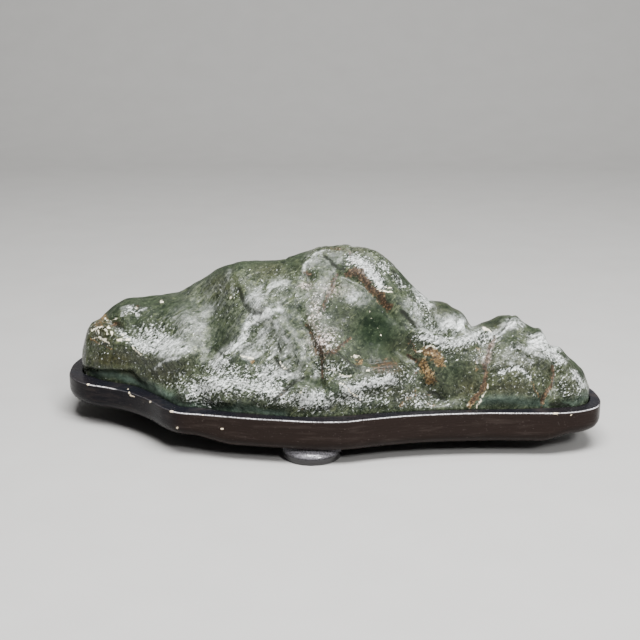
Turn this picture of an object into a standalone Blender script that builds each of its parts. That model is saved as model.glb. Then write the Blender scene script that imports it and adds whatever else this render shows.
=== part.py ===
"""Suiseki stone on its carved wooden stand.

The stone lies lengthwise along X, its front towards -Y, and rests in a seat cut in the stand's top.
The stand is one carved board on three round button feet. The origin is the middle of the floor
under it. Lengths are in millimetres up to the last step, where MM turns them into metres.
"""

import math

import bmesh
import bpy
import numpy as np

MM = 0.001

# Heights above the floor
FOOT_TOP = 8.7
STAND_UNDER = 9.0
SEAT_FLOOR = 21.0
RIM_TOP = 29.0

# How far along X the finished pieces are moved, to stand with their middle over the origin
CENTRING = 3.1

# Play between stone and stand, under it and round it
SEAT_PLAY = 0.3
LIP_PLAY = 0.6

# Plan of the stand, anticlockwise from its left end: stand edge x, y and stone edge x, y
PLAN = (
    (-173.2, 44, -164.0, 38),
    (-173.5, 30, -164.6, 29),
    (-171.8, 17, -161.0, 19),
    (-167.3, 8, -156.0, 15),
    (-158.5, -1, -150.0, 9),
    (-143.0, -8.5, -140.0, 3),
    (-127.5, -18.5, -126.0, -4),
    (-114.4, -31.7, -114.0, -16.5),
    (-103.0, -47, -103.0, -31),
    (-95.0, -54.5, -94.0, -42),
    (-80.0, -58.5, -81.0, -45.5),
    (-53.0, -65, -60.0, -53.5),
    (-30.0, -69, -35.0, -59.5),
    (-8.0, -72, -12.0, -62),
    (8.0, -71.3, 8.0, -60.2),
    (24.0, -66.5, 25.0, -55.5),
    (43.0, -61.6, 45.0, -52.5),
    (68.0, -58, 68.0, -50),
    (95.0, -56.3, 93.0, -48.7),
    (120.0, -56.4, 118.0, -47.6),
    (140.0, -56, 138.0, -45.5),
    (154.0, -51.8, 151.0, -43),
    (163.0, -45, 158.0, -37),
    (167.0, -35, 161.0, -28),
    (167.5, -22, 161.3, -20),
    (165.0, -8, 158.0, -9),
    (156.0, 8, 148.0, 3),
    (138.0, 20, 131.0, 12),
    (112.0, 28, 106.0, 19),
    (84.0, 34, 80.0, 25),
    (56.0, 45, 52.0, 35),
    (26.0, 55.5, 24.0, 45),
    (-10.0, 60, -10.0, 50),
    (-50.0, 62, -48.0, 52),
    (-90.0, 68.5, -87.0, 58),
    (-124.0, 72, -121.0, 62),
    (-150.0, 70, -144.0, 58.5),
    (-167.0, 61.5, -157.0, 50),
)

# Crest of the stone from its left tip to its right: x, y, height and how straight its front falls
CREST = (
    (-165.0, 34, 41, 1.0),
    (-159.5, 35, 56, 1.0),
    (-152.6, 36, 63, 1.0),
    (-148.5, 36, 68, 1.0),
    (-138.3, 37, 76, 0.95),
    (-124.0, 35, 78.5, 0.95),
    (-109.0, 33, 80, 1.0),
    (-97.5, 28, 84, 1.1),
    (-89.0, 25, 90.5, 1.2),
    (-81.0, 21, 94.5, 1.25),
    (-70.0, 15, 101, 1.3),
    (-52.0, 7, 106, 1.3),
    (-30.0, -2, 112, 1.3),
    (-19.0, -5, 116.5, 1.3),
    (-1.0, -11, 118.5, 1.3),
    (12.0, -14, 120.5, 1.3),
    (22.0, -16, 121, 1.3),
    (28.5, -17, 118.5, 1.3),
    (35.0, -17, 113.5, 1.3),
    (41.0, -17, 107, 1.3),
    (53.6, -17, 95.5, 1.25),
    (62.0, -17, 89.5, 1.15),
    (69.0, -16, 87, 1.1),
    (76.0, -16, 83.5, 1.05),
    (83.0, -15, 80, 1.0),
    (90.0, -15, 72, 0.95),
    (97.0, -16, 72, 0.9),
    (107.0, -16, 75.5, 0.9),
    (117.0, -17, 76, 0.9),
    (123.5, -17, 73.5, 0.9),
    (131.0, -17, 67.5, 0.9),
    (137.0, -17, 60, 0.9),
    (143.0, -17, 58.5, 0.9),
    (148.0, -18, 53, 0.9),
    (153.0, -19, 47.5, 0.9),
    (158.0, -20, 41, 0.9),
    (161.3, -21, 34, 0.9),
)

# Place of the eye that the front relief is laid out for, its tilt down and the picture's distance
EYE = (-7.2, -834.0, 310.6)
EYE_TILT = math.radians(16.0)
PICTURE = 851.4

# Relief on the front: kind, height, half width (and reach), then points across and up as the eye sees
# them. A step lifts the ground on the left of its path.
FRONT_RELIEF = (
    # Left end: knob, pit, glinting lump, undercut crease
    ("bump", 3.5, (8, 9), ((-139, -9),)),
    ("bump", -3.5, (4, 4), ((-128, -3),)),
    ("bump", 1.5, (9, 4), ((-115, 6),)),
    ("step", 3.0, (1.5, 15), ((-146, -31), (-131, -32), (-117, -32), (-111, -39))),
    # Left slope with the lip under it and the face below the lip
    ("bump", -3.0, (24, 9), ((-96, -9),)),
    ("ridge", 3.0, 6, ((-130, -10), (-122, -16), (-112, -20), (-103, -23), (-92, -23), (-81, -20))),
    ("bump", -3.0, (14, 9), ((-97, -36),)),
    # Valley between the left slope and the middle
    ("ridge", -7.0, 11, ((-72, 10), (-68, -2), (-67, -14), (-71, -24), (-81, -36))),
    # Shoulder, its groove and the spur that runs down from it
    ("bump", 3.0, (18, 9), ((-47, 28),)),
    ("crease", -2.0, 2.5, ((-55, 31), (-52, 19), (-48, 9), (-43, 4))),
    ("ridge", 4.0, 6, ((-53, 22), (-44, 9), (-36, 5))),
    ("ridge", 5.0, 6, ((-36, 5), (-46, -1), (-52, -12), (-60, -25), (-71, -31))),
    # Pale middle facet and the rough skirt under it
    ("bump", -4.0, (15, 15), ((-30, -20),)),
    ("ridge", 2.5, 4, ((-34, 6), (-23, -5), (-14, -16), (-11, -26))),
    (
        "step",
        7.0,
        (3, 13),
        ((-6, -42), (-14, -39), (-23, -45), (-36, -42), (-50, -40), (-66, -36), (-80, -34), (-85, -40)),
    ),
    # Crack down the middle, the block on its right standing proud
    ("crease", -3.0, 3, ((-7, -5), (-4, -14), (0, -23), (1, -31), (2, -41))),
    ("step", 2.5, (2, 12), ((-7, -5), (-4, -14), (0, -23), (1, -31), (2, -41))),
    ("bump", 2.0, (8, 8), ((3, -14),)),
    # Peak: curved edge of its cap, pit, long rust groove and dark crack
    ("ridge", 2.5, 3, ((-11, 30), (-9, 34), (-6, 38), (-1, 42), (8, 44), (17, 44))),
    ("bump", -3.5, (4, 3), ((-7, 28),)),
    ("crease", -4.5, 3.5, ((16, 31), (23, 28), (29, 25), (34, 19), (39, 14), (44, 8))),
    ("step", 3.0, (2, 10), ((16, 31), (23, 28), (29, 25), (34, 19), (39, 14), (44, 8))),
    ("crease", -2.0, 2, ((11, 30), (8, 22), (4, 12), (2, 6))),
    ("bump", 1.5, (8, 6), ((19, 14),)),
    # Dark smooth facet, the ledge under it and the bright band below
    ("bump", -4.5, (15, 16), ((32, -6),)),
    ("step", 4.0, (2.5, 12), ((49, -26), (32, -29), (20, -26), (9, -19))),
    ("ridge", 3.5, 5, ((11, -45), (25, -41), (45, -37))),
    # Pale strip down the right of the peak, and its crack
    ("ridge", 2.5, 5, ((45, 19), (55, 5), (62, -6), (72, -12))),
    ("crease", -2.5, 2, ((51, 4), (56, -1), (61, -8))),
    # Valley between the peak and the right block, with two ochre lumps
    ("ridge", -6.0, 8, ((50, -16), (55, -23), (61, -30), (66, -40), (75, -51))),
    ("bump", 3.0, (7, 6), ((71, -23),)),
    ("bump", 3.0, (5, 5), ((67, -34),)),
    # Bowl behind the white band, and the hill at its back
    ("bump", -9.0, (12, 6), ((82, -4),)),
    ("bump", 2.0, (9, 4), ((79, 9),)),
    ("ridge", 5.0, 4.5, ((59, -9), (68, -13), (79, -16), (91, -14), (100, -11))),
    ("ridge", 4.0, 4.5, ((100, -11), (111, -7), (118, -2), (121, 2))),
    # Right block: bulging face, crest, hollow top and the ridges that close it
    ("bump", 5.0, (24, 18), ((117, -30),)),
    ("bump", -4.0, (9, 9), ((91, -41),)),
    ("bump", 2.0, (8, 4), ((111, -2),)),
    ("bump", -3.0, (8, 5), ((128, -10),)),
    ("crease", -2.5, 3, ((120, 2), (117, -5), (111, -10))),
    ("ridge", 3.5, 3.5, ((122, -16), (131, -21), (141, -28))),
    ("ridge", 3.5, 3.5, ((136, -9), (141, -16), (146, -22), (151, -29))),
    # Two rust veins, weathered a little below the face
    ("crease", -2.0, 2.2, ((109, -12), (106, -22), (104, -31), (103, -41), (98, -50), (92, -55))),
    ("crease", -2.0, 2.2, ((146, -29), (145, -36), (142, -44), (139, -51), (136, -56))),
    # Right end lobe behind its notch
    ("crease", -4.0, 4, ((143, -15), (147, -22), (148, -31), (146, -42))),
    ("bump", 2.5, (8, 11), ((156, -36),)),
)

# Relief on the back, laid out along X and up
BACK_RELIEF = (
    ("ridge", 5.0, 9, ((-118, 76), (-124, 60), (-116, 44))),
    ("ridge", -6.0, 11, ((-92, 84), (-88, 62), (-97, 40))),
    ("ridge", 5.0, 9, ((-62, 102), (-66, 78), (-54, 52), (-58, 34))),
    ("crease", -4.0, 4, ((-36, 108), (-30, 84), (-38, 62), (-28, 40))),
    ("step", 4.0, (3, 18), ((38, 58), (12, 66), (-8, 60), (-30, 66))),
    ("ridge", 5.0, 8, ((14, 118), (20, 92), (12, 70))),
    ("ridge", -6.0, 9, ((48, 96), (44, 70), (54, 48), (50, 34))),
    ("bump", -5.0, (14, 10), ((82, 62),)),
    ("step", 3.5, (3, 14), ((128, 46), (104, 50), (84, 44), (68, 50))),
    ("ridge", 3.5, 6, ((112, 74), (118, 60), (110, 44))),
)

# Rows of the stone's mesh before it is thinned, and what share of the faces is kept
ROWS_ALONG = 170
ROWS_ROUND = 128
STONE_KEEP = 0.150

# Steps that the stone's edge is read at, and cells along each side of the noise lattice
EDGE_STEPS = 2400
LATTICE = 24

# Turning marks of a section: seat middle, front foot, front rim line, crest, back rim line, back foot
TURN_MARKS = (0.0, 0.05, 0.10, 0.60, 0.90, 0.95, 1.0)
SEAT_INSET = 2.0
BACK_POWER = 1.1

# How much the relief near a tip is pushed along the stone, and where straight out starts from
TIP_LEAN = 0.35
HEART = SEAT_FLOOR - 1.0

# The relief laid out for the eye fades where a face turns away from it, the back's where it faces up
EYE_LINE = (0.0, -0.94, 0.33)
FACING_EYE = (-0.15, 0.2)
FACING_BACK = (0.05, 0.35)

# How deep the uneven swell and the flaked bowls are, with the size of each
SWELL = (1.6, 34.0)
FRONT_FLAKES = (1.5, 26.0)
BACK_FLAKES = 3.5
CHIPS = (1.2, 12.0)
FLAKE_MEAN = 0.35
FLAKE_BEND = (3.0, 20.0)
RELIEF_STARTS = 0.2
RELIEF_FULL = 7.0

# Carving of the stand's edge: the flat underside starts further in where the ends are thinned
EDGE_POINTS = 96
HEEL_INSET = 7.0
UNDER_INSET = 12.0
END_UNDER_INSET = 22.0
END_RISE = 4.2
HEEL_HEIGHT = 7.0
HEEL_STEPS = 4
ARRIS = 0.8
MIDDLE_LINE = ((-118.0, 32.0), (112.0, -14.0))

# Where the thinning of the ends starts and is full: along a line to the left front corner, and along X
LEFT_CORNER_LINE = (-1.0, -0.55)
LEFT_THINNED = (95.0, 120.0)
RIGHT_THINNED = (128.0, 150.0)

# Button feet: places, radii and heights
FEET = (("foot_front", -12.0, -52.0), ("foot_left", -112.0, 42.0), ("foot_right", 100.0, 4.0))
FOOT_RADIUS = 18.5
FOOT_BASE_RADIUS = 16.8
FOOT_NECK_RADIUS = 11.0
FOOT_WIDEST = 2.2
FOOT_WALL = 0.6
FOOT_SIDES = 24


def ease(value, low, high):
    """0 below low, 1 above high, and a smooth rise between them."""
    t = np.clip((value - low) / (high - low), 0.0, 1.0)
    return t * t * (3.0 - 2.0 * t)


def smooth_through(x, known_x, known_y):
    """Cubic through the known points, with the slope at each taken from its neighbours."""
    slopes = np.gradient(known_y, known_x)
    i = np.clip(np.searchsorted(known_x, x) - 1, 0, len(known_x) - 2)
    span = known_x[i + 1] - known_x[i]
    t = np.clip((x - known_x[i]) / span, 0.0, 1.0)
    start = (1 + 2 * t) * (1 - t) ** 2 * known_y[i] + t * (1 - t) ** 2 * span * slopes[i]
    end = t * t * (3 - 2 * t) * known_y[i + 1] + t * t * (t - 1) * span * slopes[i + 1]
    return start + end


def closed_curves(count):
    """The stand's and the stone's edges in plan, smoothed through PLAN and read at count even steps."""
    plan = np.array(PLAN)
    wrapped = np.concatenate([plan[-3:], plan, plan[:4]])
    steps = np.linalg.norm(np.diff(wrapped[:, :2], axis=0), axis=1)
    along = np.concatenate([[0.0], np.cumsum(steps)])
    at = np.linspace(along[3], along[3 + len(plan)], count, endpoint=False)
    columns = [smooth_through(at, along, wrapped[:, k]) for k in range(4)]
    return np.stack(columns[:2], axis=1), np.stack(columns[2:], axis=1)


def outward(ring):
    """Unit directions in plan that point out of an anticlockwise ring."""
    along = np.roll(ring, -1, axis=0) - np.roll(ring, 1, axis=0)
    out = np.stack([along[:, 1], -along[:, 0]], axis=1)
    return out / np.linalg.norm(out, axis=1, keepdims=True)


def lattice_noise(points, size, seed):
    """Smooth noise of -1 to 1: random values on a cubic lattice, blended between its corners."""
    values = np.random.default_rng(seed).uniform(-1.0, 1.0, (LATTICE, LATTICE, LATTICE))
    scaled = points / size + 100.0
    cell = np.floor(scaled).astype(int)
    t = scaled - cell
    t = t * t * (3.0 - 2.0 * t)
    total = np.zeros(len(points))
    for corner in np.ndindex(2, 2, 2):
        offset = np.array(corner)
        weight = np.prod(np.where(offset == 1, t, 1.0 - t), axis=1)
        i, j, k = ((cell + offset) % LATTICE).T
        total += weight * values[i, j, k]
    return total


def scallops(points, size, seed):
    """Flaked-off bowls meeting in sharp edges: the squared distance to the nearest of scattered points."""
    places = np.random.default_rng(seed).uniform(0.0, 1.0, (LATTICE, LATTICE, LATTICE, 3))
    scaled = points / size + 100.0
    cell = np.floor(scaled).astype(int)
    nearest = np.full(len(points), 9.0)
    for neighbour in np.ndindex(3, 3, 3):
        at = cell + np.array(neighbour) - 1
        i, j, k = (at % LATTICE).T
        nearest = np.minimum(nearest, ((at + places[i, j, k] - scaled) ** 2).sum(axis=1))
    return nearest


def path_measure(u, w, path):
    """Distance to a path, and how far to its left, both from the nearest of its straight pieces."""
    distance = np.full(len(u), 1e9)
    left = np.zeros(len(u))
    for (u0, w0), (u1, w1) in zip(path[:-1], path[1:]):
        du, dw = u1 - u0, w1 - w0
        length = math.hypot(du, dw)
        t = np.clip(((u - u0) * du + (w - w0) * dw) / length**2, 0.0, 1.0)
        d = np.hypot(u - u0 - t * du, w - w0 - t * dw)
        nearer = d < distance
        left[nearer] = ((du * (w - w0) - dw * (u - u0)) / length)[nearer]
        distance = np.minimum(distance, d)
    return distance, left


def relief_height(u, w, features):
    """Sum of the features' heights at points u across and w up."""
    height = np.zeros(len(u))
    for kind, amount, width, path in features:
        if kind == "bump":
            (cu, cw), (ru, rw) = path[0], width
            height += amount * np.exp(-(((u - cu) / ru) ** 2) - ((w - cw) / rw) ** 2)
            continue
        distance, left = path_measure(u, w, path)
        if kind == "ridge":
            height += amount * np.exp(-((distance / width) ** 2))
        elif kind == "crease":
            height += amount * np.exp(-distance / width)
        else:
            sharp, reach = width
            height += amount * 0.5 * (1 + np.tanh(2 * left / sharp)) * np.exp(-((distance / reach) ** 2))
    return height


def seen_from_eye(points):
    """Across and up on the upright picture that the eye looks through."""
    away = points - np.array(EYE)
    depth = away[:, 1] * math.cos(EYE_TILT) - away[:, 2] * math.sin(EYE_TILT)
    up = away[:, 1] * math.sin(EYE_TILT) + away[:, 2] * math.cos(EYE_TILT)
    return PICTURE * away[:, 0] / depth, PICTURE * up / depth


def stone_section(phi, turn):
    """Stone without relief. Angle phi runs from the right tip to the left tip, turn round a section.

    x is the middle plus the half length times cos phi, which makes both tips blunt. A section
    starts under the stone, passes the front rim line, climbs a squared-off ellipse to the crest
    and comes down another at the back. Also returns the way out and where each point is on it.
    """
    edge = closed_curves(EDGE_STEPS)[1]
    left, right = int(np.argmin(edge[:, 0])), int(np.argmax(edge[:, 0]))
    front_edge = edge[left : right + 1] if left < right else np.concatenate([edge[left:], edge[: right + 1]])
    back_edge = edge[right : left + 1] if right < left else np.concatenate([edge[right:], edge[: left + 1]])
    middle = 0.5 * (edge[left, 0] + edge[right, 0])
    half = 0.5 * (edge[right, 0] - edge[left, 0])
    x = middle + half * np.cos(phi)
    front = np.interp(x, front_edge[:, 0], front_edge[:, 1])
    back = np.interp(x, back_edge[::-1, 0], back_edge[::-1, 1])
    crest = np.array(CREST, float)
    crest_y, crest_z, squareness = (smooth_through(x, crest[:, 0], crest[:, k]) for k in (1, 2, 3))
    crest_y = np.clip(crest_y, front, back)
    under = SEAT_FLOOR + SEAT_PLAY
    width = back - front
    inset = np.minimum(SEAT_INSET, 0.3 * width)
    mark = TURN_MARKS
    climb = np.clip((turn - mark[2]) / (mark[3] - mark[2]), 0, 1) * math.pi / 2
    fall = np.clip((mark[4] - turn) / (mark[4] - mark[3]), 0, 1) * math.pi / 2
    on_front = turn < mark[3]
    rise = np.where(on_front, climb, fall)
    foot_y = np.where(on_front, front, back)
    power = np.where(on_front, squareness, BACK_POWER)
    y = crest_y + (foot_y - crest_y) * np.cos(rise) ** power
    z = RIM_TOP + (crest_z - RIM_TOP) * np.sin(rise) ** power
    wall_front = ease(turn, mark[1], mark[2])
    wall_back = ease(-turn, -mark[5], -mark[4])
    wall = np.where(on_front, wall_front, wall_back)
    in_seat = (turn < mark[2]) | (turn > mark[4])
    side = np.where(on_front, 1.0, -1.0)
    y = np.where(in_seat, foot_y + side * inset * (1 - wall), y)
    z = np.where(in_seat, under + (RIM_TOP - under) * wall, z)
    below = (turn < mark[1]) | (turn > mark[5])
    across = np.where(on_front, 1 - turn / mark[1], (turn - 1) / (1 - mark[5]) + 1)
    foot_in = foot_y + side * inset
    y = np.where(below, foot_in + (0.5 * (front + back) - foot_in) * across, y)
    z = np.where(below, under, z)
    half_width = 0.5 * width + 1.0
    climb_out = (z - HEART) / (crest_z - HEART)
    out = np.stack([TIP_LEAN * np.cos(phi), (y - crest_y) / half_width, climb_out], axis=1)
    out /= np.linalg.norm(out, axis=1, keepdims=True)
    return np.stack([x, y, z], axis=1), out


def stone_surface(phi, turn):
    """The stone: its sections pushed out by the front and back relief and by flaking, not in the seat."""
    points, out = stone_section(phi, turn)
    u, w = seen_from_eye(points)
    front = ease(out @ np.array(EYE_LINE), *FACING_EYE)
    back = ease(out[:, 1], *FACING_BACK)
    height = front * relief_height(u, w, FRONT_RELIEF)
    height += (1 - front) * back * relief_height(points[:, 0], points[:, 2], BACK_RELIEF)
    bend, bend_size = FLAKE_BEND
    wander = [lattice_noise(points, bend_size, seed) for seed in (11, 12, 13)]
    bent = points + bend * np.stack(wander, axis=1)
    height += SWELL[0] * lattice_noise(points, SWELL[1], 1)
    flakes = FRONT_FLAKES[0] * front + BACK_FLAKES * (1 - front)
    height += flakes * (scallops(bent, FRONT_FLAKES[1], 2) - FLAKE_MEAN)
    height += CHIPS[0] * (scallops(bent, CHIPS[1], 3) - FLAKE_MEAN)
    height *= ease(points[:, 2], RIM_TOP + RELIEF_STARTS, RIM_TOP + RELIEF_FULL)
    return points + height[:, None] * out


def material(name, colour, roughness):
    """A plain Principled finish."""
    made = bpy.data.materials.new(name)
    made.use_nodes = True
    shader = made.node_tree.nodes["Principled BSDF"]
    shader.inputs["Base Color"].default_value = (*colour, 1.0)
    shader.inputs["Roughness"].default_value = roughness
    shader.inputs["Metallic"].default_value = 0.0
    return made


def add_object(name, mesh, finish, collection):
    """A new object of this mesh and finish in the collection."""
    made = bpy.data.objects.new(name, mesh)
    made.data.materials.append(finish)
    collection.objects.link(made)
    return made


def make_stone(collection):
    """A sphere with its poles turned to the tips, shaped by stone_surface and thinned."""
    mesh = bpy.data.meshes.new("stone")
    shape = bmesh.new()
    bmesh.ops.create_uvsphere(shape, u_segments=ROWS_ROUND, v_segments=ROWS_ALONG, radius=1.0)
    shape.to_mesh(mesh)
    shape.free()
    places = np.empty(len(mesh.vertices) * 3, np.float32)
    mesh.vertices.foreach_get("co", places)
    sphere = places.reshape(-1, 3).astype(float)
    phi = np.arccos(np.clip(sphere[:, 2], -1, 1))
    turn = np.arctan2(sphere[:, 1], sphere[:, 0]) / (2 * math.pi) % 1.0
    surface = (stone_surface(phi, turn) + (CENTRING, 0.0, 0.0)) * MM
    mesh.vertices.foreach_set("co", surface.astype(np.float32).ravel())
    shape = bmesh.new()
    shape.from_mesh(mesh)
    bmesh.ops.recalc_face_normals(shape, faces=shape.faces)
    shape.to_mesh(mesh)
    shape.free()
    stone = add_object("stone", mesh, material("green_stone", (0.045, 0.075, 0.045), 0.25), collection)
    thin = stone.modifiers.new("thin", "DECIMATE")
    thin.ratio = STONE_KEEP
    return stone


def towards_middle(ring):
    """Unit directions in plan from a ring to the nearest point of the stand's middle line."""
    start, end = np.array(MIDDLE_LINE)
    line = end - start
    t = np.clip((ring - start) @ line / (line @ line), 0, 1)
    inward = start + t[:, None] * line - ring
    return inward / np.linalg.norm(inward, axis=1, keepdims=True)


def stand_rows():
    """Rings of the stand from the underside, round the edge, over the rim and down into the seat."""
    edge, seat = closed_curves(EDGE_POINTS)
    inward = towards_middle(edge)
    seat_out = outward(seat)
    thinned = ease(edge @ np.array(LEFT_CORNER_LINE), *LEFT_THINNED) + ease(edge[:, 0], *RIGHT_THINNED)
    heel_floor = STAND_UNDER + END_RISE * thinned
    rows = [(edge + inward * (UNDER_INSET + END_UNDER_INSET * thinned)[:, None], STAND_UNDER + 0 * thinned)]
    for step in range(HEEL_STEPS + 1):
        angle = step / HEEL_STEPS * math.pi / 2
        height = heel_floor + HEEL_HEIGHT * (1 - math.cos(angle))
        rows.append((edge + inward * HEEL_INSET * (1 - math.sin(angle)), height))
    level = np.ones(EDGE_POINTS)
    rows.append((edge, (RIM_TOP - ARRIS) * level))
    rows.append((edge + 0.3 * ARRIS * inward, (RIM_TOP - 0.3 * ARRIS) * level))
    rows.append((edge + ARRIS * inward, RIM_TOP * level))
    rows.append((seat + (LIP_PLAY + ARRIS) * seat_out, RIM_TOP * level))
    rows.append((seat + LIP_PLAY * seat_out, (RIM_TOP - ARRIS) * level))
    rows.append((seat + LIP_PLAY * seat_out, SEAT_FLOOR * level))
    return [np.column_stack([ring, height]) for ring, height in rows]


def make_stand(collection):
    """A loft between unlike rings, closed by a flat underside and a flat seat floor."""
    rows = stand_rows()
    count = EDGE_POINTS
    points = (np.concatenate(rows) + (CENTRING, 0.0, 0.0)) * MM
    faces = [list(range(count))[::-1]]
    for row in range(len(rows) - 1):
        for i in range(count):
            j = (i + 1) % count
            faces.append([row * count + i, row * count + j, (row + 1) * count + j, (row + 1) * count + i])
    faces.append([(len(rows) - 1) * count + i for i in range(count)])
    mesh = bpy.data.meshes.new("stand")
    mesh.from_pydata(points.tolist(), [], faces)
    mesh.update()
    stand = add_object("stand", mesh, material("black_lacquer", (0.018, 0.014, 0.012), 0.35), collection)
    mesh.shade_smooth()
    mesh.set_sharp_from_angle(angle=math.radians(35))
    return stand


def foot_profile():
    """Half outline of a foot from its neck down: a domed shoulder, a short wall and a rounded base."""
    wall_top = FOOT_WIDEST + FOOT_WALL
    points = [(0.0, FOOT_TOP), (FOOT_NECK_RADIUS, FOOT_TOP)]
    for step in range(1, 4):
        angle = step / 3 * math.pi / 2
        radius = FOOT_NECK_RADIUS + (FOOT_RADIUS - FOOT_NECK_RADIUS) * math.sin(angle)
        points.append((radius, wall_top + (FOOT_TOP - wall_top) * math.cos(angle)))
    for step in range(3):
        angle = step / 2 * math.pi / 2
        radius = FOOT_BASE_RADIUS + (FOOT_RADIUS - FOOT_BASE_RADIUS) * math.cos(angle)
        points.append((radius, FOOT_WIDEST * (1 - math.sin(angle))))
    points.append((0.0, 0.0))
    return points


def make_foot(name, x, y, finish, collection):
    """A profile turned round its own upright axis."""
    profile = foot_profile()
    mesh = bpy.data.meshes.new(name)
    edges = [(i, i + 1) for i in range(len(profile) - 1)]
    mesh.from_pydata([(radius * MM, 0.0, height * MM) for radius, height in profile], edges, [])
    foot = add_object(name, mesh, finish, collection)
    foot.location = ((x + CENTRING) * MM, y * MM, 0.0)
    turned = foot.modifiers.new("turned", "SCREW")
    turned.axis = "Z"
    turned.steps = FOOT_SIDES
    turned.render_steps = FOOT_SIDES
    turned.use_merge_vertices = True
    turned.merge_threshold = 0.00001
    return foot


def main():
    for old in list(bpy.data.objects):
        bpy.data.objects.remove(old, do_unlink=True)
    collection = bpy.data.collections.new("suiseki_stone")
    bpy.context.scene.collection.children.link(collection)
    make_stone(collection)
    make_stand(collection)
    foot_finish = material("black_foot", (0.012, 0.012, 0.014), 0.2)
    for name, x, y in FEET:
        make_foot(name, x, y, foot_finish, collection)


main()
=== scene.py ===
"""Suiseki stone on its black wooden stand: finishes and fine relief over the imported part.

Lengths are in millimetres up to the last step, where MM turns them into metres. The stone and the
stand repeat the part's own formulas at a finer spacing, so each stays in its node's place.
"""

import math

import bpy
import numpy as np
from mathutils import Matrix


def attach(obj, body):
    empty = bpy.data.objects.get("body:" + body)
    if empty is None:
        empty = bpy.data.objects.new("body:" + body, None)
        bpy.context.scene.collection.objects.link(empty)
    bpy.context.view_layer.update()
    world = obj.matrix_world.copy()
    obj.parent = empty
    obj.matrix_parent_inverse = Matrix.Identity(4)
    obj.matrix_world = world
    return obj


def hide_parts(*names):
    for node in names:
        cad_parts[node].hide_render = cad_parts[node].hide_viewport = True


MM = 0.001

# How far along X the pieces are moved, to stand with their middle over the origin
CENTRING = 3.1

# Heights above the floor and the play round the stone
FOOT_TOP = 8.7
STAND_UNDER = 9.0
SEAT_FLOOR = 21.0
RIM_TOP = 29.0
SEAT_PLAY = 0.3
LIP_PLAY = 0.6

# Plan of the stand, anticlockwise from its left end: stand edge x, y and stone edge x, y
PLAN = (
    (-173.2, 44, -164.0, 38), (-173.5, 30, -164.6, 29), (-171.8, 17, -161.0, 19),
    (-167.3, 8, -156.0, 15), (-158.5, -1, -150.0, 9), (-143.0, -8.5, -140.0, 3),
    (-127.5, -18.5, -126.0, -4), (-114.4, -31.7, -114.0, -16.5), (-103.0, -47, -103.0, -31),
    (-95.0, -54.5, -94.0, -42), (-80.0, -58.5, -81.0, -45.5), (-53.0, -65, -60.0, -53.5),
    (-30.0, -69, -35.0, -59.5), (-8.0, -72, -12.0, -62), (8.0, -71.3, 8.0, -60.2),
    (24.0, -66.5, 25.0, -55.5), (43.0, -61.6, 45.0, -52.5), (68.0, -58, 68.0, -50),
    (95.0, -56.3, 93.0, -48.7), (120.0, -56.4, 118.0, -47.6), (140.0, -56, 138.0, -45.5),
    (154.0, -51.8, 151.0, -43), (163.0, -45, 158.0, -37), (167.0, -35, 161.0, -28),
    (167.5, -22, 161.3, -20), (165.0, -8, 158.0, -9), (156.0, 8, 148.0, 3), (138.0, 20, 131.0, 12),
    (112.0, 28, 106.0, 19), (84.0, 34, 80.0, 25), (56.0, 45, 52.0, 35), (26.0, 55.5, 24.0, 45),
    (-10.0, 60, -10.0, 50), (-50.0, 62, -48.0, 52), (-90.0, 68.5, -87.0, 58), (-124.0, 72, -121.0, 62),
    (-150.0, 70, -144.0, 58.5), (-167.0, 61.5, -157.0, 50),
)

# Crest of the stone from its left tip to its right: x, y, height and how straight its front falls
CREST = (
    (-165.0, 34, 41, 1.0), (-159.5, 35, 56, 1.0), (-152.6, 36, 63, 1.0), (-148.5, 36, 68, 1.0),
    (-138.3, 37, 76, 0.95), (-124.0, 35, 78.5, 0.95), (-109.0, 33, 80, 1.0), (-97.5, 28, 84, 1.1),
    (-89.0, 25, 90.5, 1.2), (-81.0, 21, 94.5, 1.25), (-70.0, 15, 101, 1.3), (-52.0, 7, 106, 1.3),
    (-30.0, -2, 112, 1.3), (-19.0, -5, 116.5, 1.3), (-1.0, -11, 118.5, 1.3), (12.0, -14, 120.5, 1.3),
    (22.0, -16, 121, 1.3), (28.5, -17, 118.5, 1.3), (35.0, -17, 113.5, 1.3), (41.0, -17, 107, 1.3),
    (53.6, -17, 95.5, 1.25), (62.0, -17, 89.5, 1.15), (69.0, -16, 87, 1.1), (76.0, -16, 83.5, 1.05),
    (83.0, -15, 80, 1.0), (90.0, -15, 72, 0.95), (97.0, -16, 72, 0.9), (107.0, -16, 75.5, 0.9),
    (117.0, -17, 76, 0.9), (123.5, -17, 73.5, 0.9), (131.0, -17, 67.5, 0.9), (137.0, -17, 60, 0.9),
    (143.0, -17, 58.5, 0.9), (148.0, -18, 53, 0.9), (153.0, -19, 47.5, 0.9), (158.0, -20, 41, 0.9),
    (161.3, -21, 34, 0.9),
)

# Place of the eye that the front relief is laid out for, its tilt down and the picture's distance
EYE = (-7.2, -834.0, 310.6)
EYE_TILT = math.radians(16.0)
PICTURE = 851.4

# The picture's side and focal length in pixels, what a pixel measures at its distance, and the sensor
PICTURE_SIDE = 640
FOCAL_LENGTH = 1362.0
PIXEL = 0.625
SENSOR = 36.0

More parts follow.
